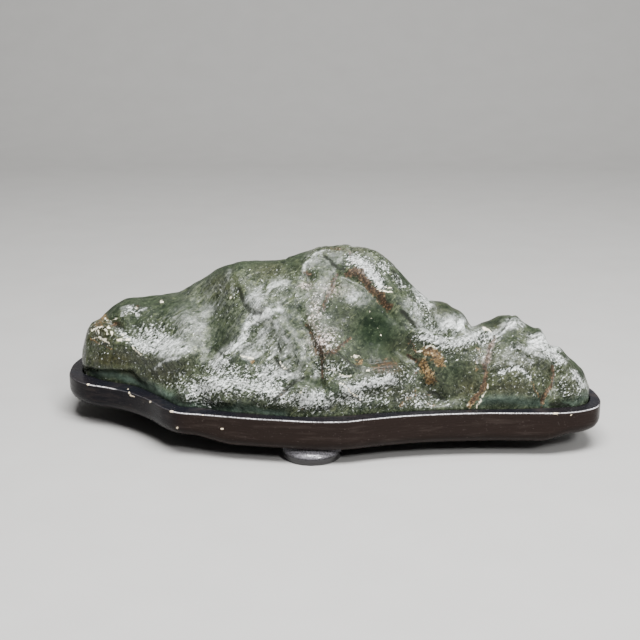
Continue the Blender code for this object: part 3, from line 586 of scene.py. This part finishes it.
def relief_height(u, w, features):
    """Sum of the features' heights at points u across and w up."""
    height = np.zeros(len(u))
    for kind, amount, width, *numbers in features:
        path = pairs(numbers)
        if kind == "bump":
            height += amount * spot(u, w, path[0], width)
            continue
        distance, left = path_measure(u, w, path)
        if kind == "ridge":
            height += amount * np.exp(-((distance / width) ** 2))
        elif kind == "crease":
            height += amount * np.exp(-distance / width)
        else:
            sharp, reach = width
            height += amount * 0.5 * (1 + np.tanh(2 * left / sharp)) * np.exp(-((distance / reach) ** 2))
    return height


def stain_depth(u, w, stains, points=pairs):
    """Strongest of the stains at points u across and w up: each falls away as a bell from its path."""
    depth = np.zeros(len(u))
    for strength, width, *numbers in stains:
        path = points(numbers)
        if len(path) == 1:
            bell = spot(u, w, path[0], width)
        else:
            bell = np.exp(-((path_measure(u, w, path)[0] / width) ** 2))
        depth = np.maximum(depth, strength * bell)
    return depth


def seen_from_eye(points):
    """Across and up on the upright picture that the eye looks through."""
    away = points - np.array(EYE)
    depth = away[:, 1] * math.cos(EYE_TILT) - away[:, 2] * math.sin(EYE_TILT)
    up = away[:, 1] * math.sin(EYE_TILT) + away[:, 2] * math.cos(EYE_TILT)
    return PICTURE * away[:, 0] / depth, PICTURE * up / depth


def stone_section(phi, turn):
    """Stone without relief. Angle phi runs from the right tip to the left tip, turn round a section.

    x is the middle plus the half length times cos phi, which makes both tips blunt. A section
    starts under the stone, passes the front rim line, climbs a squared-off ellipse to the crest
    and comes down another at the back. Also returns the way out.
    """
    edge = closed_curves(EDGE_STEPS)[1]
    left, right = int(np.argmin(edge[:, 0])), int(np.argmax(edge[:, 0]))
    front_edge = np.roll(edge, -left, axis=0)[: (right - left) % EDGE_STEPS + 1]
    back_edge = np.roll(edge, -right, axis=0)[: (left - right) % EDGE_STEPS + 1]
    middle = 0.5 * (edge[left, 0] + edge[right, 0])
    half = 0.5 * (edge[right, 0] - edge[left, 0])
    x = middle + half * np.cos(phi)
    front = np.interp(x, front_edge[:, 0], front_edge[:, 1])
    back = np.interp(x, back_edge[::-1, 0], back_edge[::-1, 1])
    crest = np.array(CREST, float)
    crest_y, crest_z, squareness = (smooth_through(x, crest[:, 0], crest[:, k]) for k in (1, 2, 3))
    crest_y = np.clip(crest_y, front, back)
    under = SEAT_FLOOR + SEAT_PLAY
    width = back - front
    inset = np.minimum(SEAT_INSET, 0.3 * width)
    mark = TURN_MARKS
    climb = np.clip((turn - mark[2]) / (mark[3] - mark[2]), 0, 1) * math.pi / 2
    fall = np.clip((mark[4] - turn) / (mark[4] - mark[3]), 0, 1) * math.pi / 2
    on_front = turn < mark[3]
    rise = np.where(on_front, climb, fall)
    foot_y = np.where(on_front, front, back)
    power = np.where(on_front, squareness, BACK_POWER)
    y = crest_y + (foot_y - crest_y) * np.cos(rise) ** power
    z = RIM_TOP + (crest_z - RIM_TOP) * np.sin(rise) ** power
    wall_front = ease(turn, mark[1], mark[2])
    wall_back = ease(-turn, -mark[5], -mark[4])
    wall = np.where(on_front, wall_front, wall_back)
    in_seat = (turn < mark[2]) | (turn > mark[4])
    side = np.where(on_front, 1.0, -1.0)
    y = np.where(in_seat, foot_y + side * inset * (1 - wall), y)
    z = np.where(in_seat, under + (RIM_TOP - under) * wall, z)
    below = (turn < mark[1]) | (turn > mark[5])
    across = np.where(on_front, 1 - turn / mark[1], (turn - 1) / (1 - mark[5]) + 1)
    foot_in = foot_y + side * inset
    y = np.where(below, foot_in + (0.5 * (front + back) - foot_in) * across, y)
    z = np.where(below, under, z)
    half_width = 0.5 * width + 1.0
    climb_out = (z - HEART) / (crest_z - HEART)
    out = np.stack([TIP_LEAN * np.cos(phi), (y - crest_y) / half_width, climb_out], axis=1)
    out /= np.linalg.norm(out, axis=1, keepdims=True)
    return np.stack([x, y, z], axis=1), out


def stone_surface(phi, turn):
    """The stone's points and its stains: the part's sections and relief, with fine relief added.

    Small and tiny chips are scallops a few millimetres across. Grit is noise at the size of coarse
    sand, as strong as the grain stain, which also carries the material's painted glints.
    """
    points, out = stone_section(phi, turn)
    u, w = seen_from_eye(points)
    front = ease(out @ np.array(EYE_LINE), *FACING_EYE)
    back = ease(out[:, 1], *FACING_BACK)
    rest = (1 - front) * back
    height = front * relief_height(u, w, FRONT_RELIEF)
    height += rest * relief_height(points[:, 0], points[:, 2], BACK_RELIEF)
    bend, bend_size = FLAKE_BEND
    wander = [lattice_noise(points, bend_size, seed) for seed in (11, 12, 13)]
    bent = points + bend * np.stack(wander, axis=1)
    height += SWELL[0] * lattice_noise(points, SWELL[1], 1)
    flakes = FRONT_FLAKES[0] * front + BACK_FLAKES * (1 - front)
    height += flakes * (scallops(bent, FRONT_FLAKES[1], 2) - FLAKE_MEAN)
    height += CHIPS[0] * (scallops(bent, CHIPS[1], 3) - FLAKE_MEAN)
    above = ease(points[:, 2], RIM_TOP + RELIEF_STARTS, RIM_TOP + RELIEF_FULL)
    points = points + (height * above)[:, None] * out
    u, w = seen_from_eye(points)
    for k, (reach, size) in enumerate(WANDER):
        u = u + reach * lattice_noise(points, size, 31 + k)
        w = w + reach * lattice_noise(points, size, 41 + k)
    stains = {}
    for name in PAINT:
        stains[name] = front * stain_depth(u, w, PAINT[name], px)
        stains[name] += rest * stain_depth(points[:, 0], points[:, 2], BACK_PAINT[name])
    smooth_frost_and_sheen = stains["frost_and_sheen"] * np.clip(1 - stains["grain_and_glints"], 0, 1)
    calm = stains["deep"] + CALM_SHARE * stains["olive"] + CALM_SHARE * smooth_frost_and_sheen
    broken = 1 - CALMING * np.clip(calm, 0, 1)
    height = front * relief_height(u, w, FINE_RELIEF)
    height += SMALL_CHIPS[0] * broken * (scallops(bent, SMALL_CHIPS[1], 4) - FLAKE_MEAN)
    height += TINY_CHIPS[0] * broken * (scallops(bent, TINY_CHIPS[1], 9) - FLAKE_MEAN)
    fine = lattice_noise(points, GRIT[1], 5) + 0.6 * lattice_noise(points, 0.55 * GRIT[1], 6)
    height += GRIT[0] * (GRIT_LEAST + stains["grain_and_glints"]) * fine
    return points + (height * above)[:, None] * out, stains


def grid_mesh(name, rows):
    """Skin over rings of equal length, each row a ring, closed by a fan at both ends."""
    count = len(rows[0])
    middles = np.stack([rows[0].mean(axis=0), rows[-1].mean(axis=0)])
    points = (np.concatenate([*rows, middles]) + (CENTRING, 0.0, 0.0)) * MM
    row, i = np.meshgrid(np.arange(len(rows) - 1), np.arange(count), indexing="ij")
    j = (i + 1) % count
    low, high = row * count, (row + 1) * count
    faces = np.stack([low + i, low + j, high + j, high + i], axis=-1).reshape(-1, 4)
    mesh = bpy.data.meshes.new(name)
    start, end = len(points) - 2, len(points) - 1
    ring = np.arange(count)
    after = (ring + 1) % count
    top = (len(rows) - 1) * count
    caps = [np.stack([after, ring, np.full(count, start)], 1)]
    caps.append(np.stack([top + ring, top + after, np.full(count, end)], 1))
    corners = np.concatenate([faces.ravel()] + [cap.ravel() for cap in caps])
    sizes = np.concatenate([np.full(len(faces), 4)] + [np.full(len(cap), 3) for cap in caps])
    starts = np.concatenate([[0], np.cumsum(sizes)[:-1]])
    mesh.vertices.add(len(points))
    mesh.vertices.foreach_set("co", points.astype(np.float32).ravel())
    mesh.loops.add(len(corners))
    mesh.loops.foreach_set("vertex_index", corners.astype(np.int32))
    mesh.polygons.add(len(sizes))
    mesh.polygons.foreach_set("loop_start", starts.astype(np.int32))
    mesh.update(calc_edges=True)
    mesh.validate()
    mesh.shade_smooth()
    return mesh


def add_piece(name, mesh, finish, node):
    """A shown piece that stands for its node and rides on the part."""
    piece = bpy.data.objects.new(name, mesh)
    piece.data.materials.append(finish)
    bpy.context.scene.collection.objects.link(piece)
    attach(piece, "root")
    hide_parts(node)


def store(mesh, name, values):
    """A number for each point of a mesh, for its material to read."""
    layer = mesh.attributes.new(name, "FLOAT", "POINT")
    padded = np.zeros(len(mesh.vertices), np.float32)
    padded[: len(values)] = values
    layer.data.foreach_set("value", padded)


class Finish:
    """Nodes of one material, with short names for the kinds used here."""

    def __init__(self, name):
        self.material = bpy.data.materials.new(name)
        self.material.use_nodes = True
        self.tree = self.material.node_tree
        self.shader = self.tree.nodes["Principled BSDF"]
        self.place = self.tree.nodes.new("ShaderNodeTexCoord").outputs["Object"]

    def link(self, value, socket):
        if isinstance(value, (int, float)):
            socket.default_value = value
        elif isinstance(value, tuple):
            socket.default_value = (*value, 1.0)
        else:
            self.tree.links.new(value, socket)

    def set(self, name, value):
        self.link(value, self.shader.inputs[name])

    def stain(self, name):
        node = self.tree.nodes.new("ShaderNodeAttribute")
        node.attribute_name = name
        return node.outputs["Fac"]

    def noise(self, size_mm, detail=2.0, rough=0.5, place=None, warp=0.0):
        """Noise of 0 to 1 whose features are about size_mm across."""
        node = self.tree.nodes.new("ShaderNodeTexNoise")
        node.inputs["Scale"].default_value = 1000.0 / size_mm
        node.inputs["Detail"].default_value = detail
        node.inputs["Roughness"].default_value = rough
        node.inputs["Distortion"].default_value = warp
        self.tree.links.new(place or self.place, node.inputs["Vector"])
        return node.outputs["Fac"]

    def turned(self, angles, stretch):
        """The piece's own coordinates, turned and stretched."""
        node = self.tree.nodes.new("ShaderNodeMapping")
        node.vector_type = "TEXTURE"
        node.inputs["Rotation"].default_value = [math.radians(a) for a in angles]
        node.inputs["Scale"].default_value = stretch
        self.tree.links.new(self.place, node.inputs["Vector"])
        return node.outputs["Vector"]

    def step(self, value, low, high, bottom=0.0, top=1.0):
        """Smooth change from bottom to top while the value goes from low to high."""
        node = self.tree.nodes.new("ShaderNodeMapRange")
        node.interpolation_type = "SMOOTHSTEP"
        for socket, number in zip(("From Min", "From Max", "To Min", "To Max"), (low, high, bottom, top)):
            node.inputs[socket].default_value = number
        self.link(value, node.inputs["Value"])
        return node.outputs["Result"]

    def sum(self, kind, a, b, clamp):
        node = self.tree.nodes.new("ShaderNodeMath")
        node.operation = kind
        node.use_clamp = clamp
        self.link(a, node.inputs[0])
        self.link(b, node.inputs[1])
        return node.outputs[0]

    def plus(self, a, b, clamp=False):
        return self.sum("ADD", a, b, clamp)

    def minus(self, a, b, clamp=False):
        return self.sum("SUBTRACT", a, b, clamp)

    def times(self, a, b, clamp=False):
        return self.sum("MULTIPLY", a, b, clamp)

    def mix(self, share, under, over):
        node = self.tree.nodes.new("ShaderNodeMix")
        node.data_type = "RGBA"
        self.link(share, node.inputs[0])
        self.link(under, node.inputs[6])
        self.link(over, node.inputs[7])
        return node.outputs[2]

    def bump(self, height, depth_mm, strength=1.0, under=None):
        node = self.tree.nodes.new("ShaderNodeBump")
        node.inputs["Distance"].default_value = depth_mm * MM
        node.inputs["Strength"].default_value = strength
        self.link(height, node.inputs["Height"])
        if under is not None:
            self.tree.links.new(under, node.inputs["Normal"])
        return node.outputs["Normal"]


def green_stone():
    """Dark green stone: mottled, veined with rust and ochre, frosted and sparkling where it is rough, with
    painted sheen, glints and shade.

    White is the sum of a soft haze, as strong as the frost stain, which is pale crust and painted sheen,
    and of flakes, painted glints, which show where flake noise plus the grain stain passes a level. A
    ragged stain is its bell plus fine noise, cut at a level.
    """
    f = Finish("green_stone")
    broad = f.noise(24, 3, 0.55)
    middle = f.noise(4.6, 5, 0.68, warp=0.6)
    fine = f.noise(1.8, 4, 0.68)
    flake = f.noise(1.15, 3, 0.66, place=f.turned((0, -35, 0), (1.7, 1.0, 1.0)), warp=0.8)
    haze = f.noise(4.2, 5, 0.66, place=f.turned((10, -42, 0), (2.6, 1.0, 1.0)), warp=0.5)
    thread = f.noise(2.4, 4, 0.7, place=f.turned((0, -52, 0), (4.0, 1.0, 1.0)), warp=0.9)

    colour = f.mix(f.step(middle, 0.36, 0.62), (0.010, 0.015, 0.008), (0.052, 0.064, 0.036))
    colour = f.mix(f.step(broad, 0.42, 0.68, 0.0, 0.4), colour, (0.026, 0.032, 0.017))
    colour = f.mix(f.step(fine, 0.54, 0.68, 0.0, 0.62), colour, (0.142, 0.165, 0.102))
    colour = f.mix(f.step(fine, 0.46, 0.36, 0.0, 0.70), colour, (0.006, 0.010, 0.005))
    colour = f.mix(f.step(thread, 0.57, 0.65, 0.0, 0.38), colour, (0.260, 0.290, 0.155))
    olive = f.times(f.stain("olive"), f.step(broad, 0.25, 0.6, 0.6, 0.95), True)
    olives = f.mix(f.step(middle, 0.34, 0.64), (0.007, 0.008, 0.003), (0.036, 0.035, 0.014))
    olives = f.mix(f.step(fine, 0.56, 0.70, 0.0, 0.65), olives, (0.120, 0.110, 0.050))
    colour = f.mix(olive, colour, olives)
    # Deep green of the smooth stone, and painted shade along the crests
    deep = f.times(f.stain("deep"), 0.9, True)
    deeps = f.mix(f.step(middle, 0.34, 0.66), (0.007, 0.012, 0.007), (0.020, 0.030, 0.016))
    deeps = f.mix(f.step(fine, 0.57, 0.72, 0.0, 0.55), deeps, (0.070, 0.092, 0.048))
    colour = f.mix(deep, colour, deeps)
    teals = f.mix(f.step(middle, 0.34, 0.66), (0.034, 0.053, 0.040), (0.092, 0.130, 0.104))
    teals = f.mix(f.step(fine, 0.57, 0.72, 0.0, 0.5), teals, (0.20, 0.25, 0.21))
    colour = f.mix(f.times(f.stain("teal"), 0.8, True), colour, teals)

    frost_and_sheen = f.stain("frost_and_sheen")
    grain_and_glints = f.stain("grain_and_glints")
    grit_level = f.plus(f.times(grain_and_glints, 0.50), f.times(frost_and_sheen, 0.08))
    smooth = f.plus(f.stain("deep"), f.stain("teal"))
    grit_level = f.minus(grit_level, f.times(smooth, 0.35))
    grit = f.plus(grit_level, f.times(f.minus(flake, 0.5), 3.4))
    # White flakes: painted glints of light off the rough crystals
    flakes = f.step(grit, 0.48, 0.66)
    rough_share = f.plus(grain_and_glints, f.times(frost_and_sheen, 0.35), True)
    gaps = f.times(rough_share, f.step(grit, 0.44, 0.14), True)
    # Soft haze where the frost stain lies: pale crust, and painted sheen of light on the smooth slopes
    sheen_and_frost_haze = f.times(frost_and_sheen, f.step(haze, 0.36, 0.62, 0.14, 0.95))
    sheen_and_frost_haze = f.times(sheen_and_frost_haze, f.minus(1.0, f.times(grain_and_glints, 0.45), True))
    # Pale share: pale crust, painted sheen and painted glints, less the dark gaps
    white = f.plus(sheen_and_frost_haze, f.times(flakes, 0.92), True)
    white = f.minus(white, f.times(gaps, 0.45), True)
    white = f.times(white, f.step(thread, 0.40, 0.50, 0.5, 1.0))
    colour = f.mix(f.times(gaps, 0.85), colour, (0.014, 0.021, 0.012))
    whites = f.mix(f.step(fine, 0.38, 0.60), (0.50, 0.53, 0.51), (0.92, 0.94, 0.93))
    colour = f.mix(white, colour, whites)

    pink = f.times(f.stain("pink"), f.step(flake, 0.46, 0.58, 0.0, 0.85), True)
    colour = f.mix(pink, colour, (0.72, 0.58, 0.53))
    ragged = f.plus(f.times(fine, 2.6), f.times(middle, 1.8))
    ragged = f.minus(ragged, 2.2)
    cream = f.step(f.plus(f.stain("cream"), f.times(ragged, 0.7)), 0.42, 0.66)
    ochre = f.step(f.plus(f.stain("ochre"), ragged), 0.42, 0.76)
    rust = f.step(f.plus(f.stain("rust"), ragged), 0.42, 0.76)
    painted_shade = f.step(f.plus(f.stain("painted_shade"), f.times(ragged, 0.6)), 0.40, 0.80)
    cream = f.times(cream, f.step(f.stain("cream"), 0.18, 0.3))
    ochre = f.times(ochre, f.step(f.stain("ochre"), 0.16, 0.3))
    rust = f.times(rust, f.step(f.stain("rust"), 0.16, 0.3))
    # Painted shade: near-black in cracks, pits, hollows and under ledges
    colour = f.mix(f.times(painted_shade, 0.88), colour, (0.010, 0.012, 0.008))
    ochres = f.mix(f.step(flake, 0.40, 0.56), (0.020, 0.012, 0.005), (0.165, 0.098, 0.036))
    ochres = f.mix(f.step(flake, 0.57, 0.66), ochres, (0.42, 0.33, 0.18))
    colour = f.mix(f.times(ochre, 0.90), colour, ochres)
    rusts = f.mix(f.step(flake, 0.42, 0.60), (0.012, 0.008, 0.005), (0.062, 0.034, 0.017))
    rusts = f.mix(f.step(fine, 0.56, 0.68, 0.0, 0.8), rusts, (0.22, 0.145, 0.080))
    colour = f.mix(f.times(rust, 0.90), colour, rusts)
    colour = f.mix(f.times(cream, 0.95), colour, (0.86, 0.80, 0.62))
    f.set("Base Color", colour)

    rough = f.plus(f.step(fine, 0.3, 0.7, 0.20, 0.38), f.times(deep, 0.24))
    rough = f.plus(rough, f.times(f.plus(rust, ochre), 0.22), True)
    f.set("Roughness", rough)
    matt = f.minus(1.0, f.times(deep, 0.9))
    f.set("Specular IOR Level", f.times(matt, 0.28))
    f.set("Coat Weight", f.times(matt, 0.12))
    f.set("Coat Roughness", 0.16)
    f.set("Coat IOR", 1.5)
    low = f.bump(middle, 1.1, 0.4)
    hair = f.bump(haze, 0.6, 0.35, low)
    depth = f.plus(0.22, f.times(f.plus(grain_and_glints, f.times(frost_and_sheen, 0.15)), 0.8))
    f.set("Normal", f.bump(f.times(flake, depth), 1.8, 1.0, hair))
    return f.material


def black_lacquer():
    """Brown-black satin lacquer over wood, chipped in places. The top is painted a bluer black as
    reflection, the left wall darker as shade, and the top edge pale as wear with a painted highlight.
    """
    f = Finish("black_lacquer")
    cloud = f.noise(30, 3, 0.5)
    brush = f.noise(2.6, 4, 0.6, place=f.turned((0, 0, 0), (9.0, 5.0, 1.0)))
    fine = f.noise(0.9, 3, 0.6)
    # Painted reflection and shade: rows that are not side (top, seat, underside) take a bluer black that
    # stands for the room's reflection on the top, the sides the brown-black lacquer, and the side share is
    # lowered on the left wall to paint it darker as shade
    colour = f.mix(f.stain("side"), (0.0050, 0.0052, 0.0075), (0.0135, 0.0086, 0.0070))
    colour = f.mix(f.step(cloud, 0.35, 0.7, 0.0, 0.35), colour, (0.012, 0.008, 0.007))
    colour = f.mix(f.step(brush, 0.52, 0.70, 0.0, 0.22), colour, (0.060, 0.046, 0.040))
    colour = f.mix(f.step(fine, 0.66, 0.72, 0.0, 0.5), colour, (0.14, 0.12, 0.11))
    # Pale edge line: wear, and a painted highlight
    worn_and_highlight = f.times(f.stain("worn_and_highlight"), f.step(fine, 0.40, 0.52, 0.25, 1.0), True)
    colour = f.mix(worn_and_highlight, colour, (0.85, 0.83, 0.84))
    chip = f.plus(f.stain("chip"), f.times(f.minus(fine, 0.5), 0.5))
    chip = f.step(chip, 0.42, 0.6)
    colour = f.mix(chip, colour, (0.80, 0.68, 0.50))
    f.set("Base Color", colour)
    f.set("Roughness", f.step(brush, 0.3, 0.75, 0.22, 0.36))
    f.set("Specular IOR Level", 0.08)
    low = f.bump(brush, 0.25, 0.35)
    f.set("Normal", f.bump(fine, 0.10, 0.4, low))
    return f.material


def black_foot():
    """Glossy black lacquer on a turned button, its shoulder painted pale: dust and rubbing, and a painted
    sheen of light.
    """
    f = Finish("black_foot")
    fine = f.noise(0.9, 3, 0.6)
    cloud = f.noise(7, 3, 0.55)
    # Pale shoulder: dust, and a painted sheen of light
    shoulder = f.times(f.stain("shoulder"), f.step(fine, 0.36, 0.60, 0.35, 1.0), True)
    colour = f.mix(f.times(shoulder, 0.95), (0.010, 0.009, 0.010), (0.30, 0.29, 0.315))
    f.set("Base Color", colour)
    f.set("Roughness", f.step(cloud, 0.3, 0.7, 0.12, 0.26))
    f.set("Coat Weight", 0.3)
    f.set("Coat Roughness", 0.08)
    f.set("Normal", f.bump(fine, 0.12, 0.5))
    return f.material


def floor_finish():
    """Pale matt floor."""
    f = Finish("pale_floor")
    f.set("Base Color", f.mix(f.noise(40, 2, 0.5), (0.33, 0.325, 0.315), (0.36, 0.355, 0.345)))
    f.set("Roughness", 0.8)
    f.set("Specular IOR Level", 0.2)
    return f.material


def make_stone():
    """Rings of the stone from its left tip to its right, closed by a point at each tip."""
    phi = np.linspace(math.pi, 0.0, ROWS_ALONG + 2)[1:-1]
    turn = np.arange(ROWS_ROUND) / ROWS_ROUND
    phis, turns = np.meshgrid(phi, turn, indexing="ij")
    points, stains = stone_surface(phis.ravel(), turns.ravel())
    rows = list(points.reshape(ROWS_ALONG, ROWS_ROUND, 3))
    mesh = grid_mesh("stone_skin", rows)
    for name, values in stains.items():
        store(mesh, name, values)
    add_piece("stone_skin", mesh, green_stone(), "stone")


def towards_middle(ring):
    """Unit directions in plan from a ring to the nearest point of the stand's middle line."""
    start, end = np.array(MIDDLE_LINE)
    line = end - start
    t = np.clip((ring - start) @ line / (line @ line), 0, 1)
    inward = start + t[:, None] * line - ring
    return inward / np.linalg.norm(inward, axis=1, keepdims=True)


def stand_rows():
    """Rings of the stand from the underside, round the edge, over the rim and down into the seat.

    Each holds its points in plan, their heights, how much it counts as side, which takes the brown-black
    where the top is painted a bluer black as reflection, and how much of the pale edge line it carries,
    wear together with a painted highlight.
    """
    edge, seat = closed_curves(EDGE_POINTS)
    inward = towards_middle(edge)
    seat_out = outward(seat)
    thinned = ease(edge @ np.array(LEFT_CORNER_LINE), *LEFT_THINNED) + ease(edge[:, 0], *RIGHT_THINNED)
    heel_floor = STAND_UNDER + END_RISE * thinned
    level = np.ones(EDGE_POINTS)
    rows = [(edge + inward * (UNDER_INSET + END_UNDER_INSET * thinned)[:, None], STAND_UNDER * level, 0, 0)]
    for step in range(HEEL_STEPS + 1):
        angle = step / HEEL_STEPS * math.pi / 2
        height = heel_floor + HEEL_HEIGHT * (1 - math.cos(angle))
        rows.append((edge + inward * HEEL_INSET * (1 - math.sin(angle)), height, 1, 0))
    wall_foot = heel_floor + HEEL_HEIGHT
    for step in range(1, WALL_STEPS + 1):
        share = step / WALL_STEPS
        rows.append((edge, wall_foot + (RIM_TOP - ARRIS - wall_foot) * share, 1, 0))
    for step in range(1, ARRIS_STEPS + 1):
        angle = step / ARRIS_STEPS * math.pi / 2
        ring = edge + ARRIS * (1 - math.cos(angle)) * inward
        height = (RIM_TOP - ARRIS + ARRIS * math.sin(angle)) * level
        # The middle of the rounded arris carries the pale edge line: wear, and a painted highlight
        rows.append((ring, height, 1 - step / ARRIS_STEPS, math.sin(2 * angle) ** RUBBED_AND_LIT_SHARPNESS))
    rim_in = edge + ARRIS * inward
    lip = seat + (LIP_PLAY + ARRIS) * seat_out
    for share in (0.33, 0.67, 1.0):
        rows.append((rim_in + (lip - rim_in) * share, RIM_TOP * level, 0, 0))
    for step in range(1, ARRIS_STEPS + 1):
        angle = step / ARRIS_STEPS * math.pi / 2
        ring = seat + (LIP_PLAY + ARRIS * (1 - math.sin(angle))) * seat_out
        rows.append((ring, (RIM_TOP - ARRIS + ARRIS * math.cos(angle)) * level, 0, 0))
    rows.append((seat + LIP_PLAY * seat_out, SEAT_FLOOR * level, 0, 0))
    return rows


def make_stand():
    """Skin over the stand's rings, a little uneven as carved wood is."""
    rows = stand_rows()
    rings = [np.column_stack([ring, height]) for ring, height, side, worn_and_highlight in rows]
    points = np.concatenate(rings)
    (high_wave, long), (low_wave, short) = UNEVEN
    wave = high_wave * lattice_noise(points, long, 21) + low_wave * lattice_noise(points, short, 22)
    uneven = wave.reshape(len(rings), EDGE_POINTS)
    out = outward(closed_curves(EDGE_POINTS)[0])
    for k in range(1, len(rings) - ARRIS_STEPS - 2):
        rings[k][:, :2] += uneven[k][:, None] * out * UNEVEN_SHARE
    mesh = grid_mesh("stand_skin", rings)
    points = np.concatenate(rings)
    u, w = seen_from_eye(points)
    seen = ease(-np.tile(out[:, 1], len(rings)), 0.0, 0.2)
    side = np.repeat([row[2] for row in rows], EDGE_POINTS).astype(float)
    rubbed_and_lit = np.repeat([row[3] for row in rows], EDGE_POINTS).astype(float)
    # Pale edge line facing the eye over the listed stretches: wear, and a painted highlight along the edge
    left_start, left_end = RUBBED_AND_LIT_LEFT
    front_start, front_end = RUBBED_AND_LIT_FRONT
    bare_and_lit = ease(u, left_start, left_start + 2) * ease(-u, -left_end, 4 - left_end)
    bare_and_lit += ease(u, front_start, front_start + 2) * ease(-u, -front_end, 2 - front_end)
    bare_and_lit = seen * bare_and_lit * (0.75 + 0.35 * lattice_noise(points, 7.0, 23))
    # Painted shade: the front wall darkens towards the stand's left end
    left_shade = LEFT_SHADE_LEAST + (1 - LEFT_SHADE_LEAST) * ease(u, *LEFT_SHADE_RAMP)
    store(mesh, "side", side * np.where(seen > 0.5, left_shade, 1.0))
    store(mesh, "worn_and_highlight", rubbed_and_lit * np.clip(WORN_AND_LIT_LEAST + bare_and_lit, 0, 1))
    store(mesh, "chip", seen * stain_depth(u, w, STAND_CHIPS, px))
    add_piece("stand_skin", mesh, black_lacquer(), "stand")


def foot_profile():
    """Half outline of a foot from its neck down: a domed shoulder, a short wall and a rounded base."""
    wall_top = FOOT_WIDEST + FOOT_WALL
    radii = [FOOT_NECK_RADIUS * k / NECK_STEPS for k in range(1, NECK_STEPS + 1)]
    heights = [FOOT_TOP] * NECK_STEPS
    for step in range(1, SHOULDER_STEPS + 1):
        angle = step / SHOULDER_STEPS * math.pi / 2
        radii.append(FOOT_NECK_RADIUS + (FOOT_RADIUS - FOOT_NECK_RADIUS) * math.sin(angle))
        heights.append(wall_top + (FOOT_TOP - wall_top) * math.cos(angle))
    for step in range(BASE_STEPS + 1):
        angle = step / BASE_STEPS * math.pi / 2
        radii.append(FOOT_BASE_RADIUS + (FOOT_RADIUS - FOOT_BASE_RADIUS) * math.cos(angle))
        heights.append(FOOT_WIDEST * (1 - math.sin(angle)))
    return np.array(radii), np.array(heights)


def make_feet():
    """Each foot is its profile turned round its own upright axis."""
    finish = black_foot()
    radii, heights = foot_profile()
    angle = np.arange(FOOT_SIDES) / FOOT_SIDES * 2 * math.pi
    for name, x, y in FEET:
        rings = []
        for radius, height in zip(radii[::-1], heights[::-1]):
            across, back = x + radius * np.cos(angle), y + radius * np.sin(angle)
            rings.append(np.column_stack([across, back, np.full(FOOT_SIDES, height)]))
        mesh = grid_mesh(name + "_skin", rings)
        z = np.concatenate(rings)[:, 2]
        store(mesh, "shoulder", ease(z, *SHOULDER))
        add_piece(name + "_skin", mesh, finish, name)


def make_stage():
    """Pale floor that sweeps up behind, soft overhead light, weak fill and the camera at the eye."""
    turn = np.linspace(0.0, math.pi / 2, SWEEP_STEPS + 1)
    wall = SWEEP_START + SWEEP_RADIUS
    behind = np.concatenate([[-FLOOR_REACH], SWEEP_START + SWEEP_RADIUS * np.sin(turn), [wall]])
    height = np.concatenate([[0.0], SWEEP_RADIUS * (1 - np.cos(turn)), [FLOOR_REACH]])
    left = np.column_stack([np.full(len(behind), -FLOOR_REACH), behind, height])
    right = left * (-1.0, 1.0, 1.0)
    count = len(behind)
    faces = [(k, count + k, count + k + 1, k + 1) for k in range(count - 1)]
    floor = bpy.data.meshes.new("floor")
    floor.from_pydata(np.concatenate([left, right]).tolist(), [], faces)
    floor.shade_smooth()
    floor.materials.append(floor_finish())
    ground = bpy.data.objects.new("floor", floor)
    bpy.context.scene.collection.objects.link(ground)
    for name, place, aimed_at, size, power in LAMPS:
        lamp = bpy.data.lights.new(name, "AREA")
        lamp.shape = "RECTANGLE"
        lamp.size, lamp.size_y = size
        lamp.energy = power
        holder = bpy.data.objects.new(name, lamp)
        holder.location = place
        aim = np.array(aimed_at) - np.array(place)
        across = math.atan2(-aim[0], aim[1])
        down = math.atan2(math.hypot(aim[0], aim[1]), -aim[2])
        holder.rotation_euler = (down, 0.0, across)
        bpy.context.scene.collection.objects.link(holder)
    world = bpy.data.worlds.new("studio")
    bpy.context.scene.world = world
    world.use_nodes = True
    background = world.node_tree.nodes["Background"]
    background.inputs["Color"].default_value = ROOM_GREY
    background.inputs["Strength"].default_value = ROOM_STRENGTH
    camera = bpy.data.cameras.new("camera")
    camera.sensor_width = SENSOR
    camera.lens = SENSOR * FOCAL_LENGTH / PICTURE_SIDE
    eye = bpy.data.objects.new("camera", camera)
    eye.location = [(EYE[0] + CENTRING) * MM, EYE[1] * MM, EYE[2] * MM]
    eye.rotation_euler = (math.pi / 2 - EYE_TILT, 0.0, 0.0)
    bpy.context.scene.collection.objects.link(eye)
    bpy.context.scene.camera = eye


def corners(box):
    """A box as plain lists."""
    return [list(corner) for corner in box]


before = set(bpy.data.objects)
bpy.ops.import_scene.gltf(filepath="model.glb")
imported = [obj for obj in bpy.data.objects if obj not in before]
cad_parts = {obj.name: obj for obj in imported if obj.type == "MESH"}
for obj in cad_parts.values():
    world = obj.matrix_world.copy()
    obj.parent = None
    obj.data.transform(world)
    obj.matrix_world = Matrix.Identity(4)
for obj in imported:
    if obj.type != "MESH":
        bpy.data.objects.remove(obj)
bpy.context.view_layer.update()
make_stage()
make_stone()
make_stand()
make_feet()
bpy.context.view_layer.update()
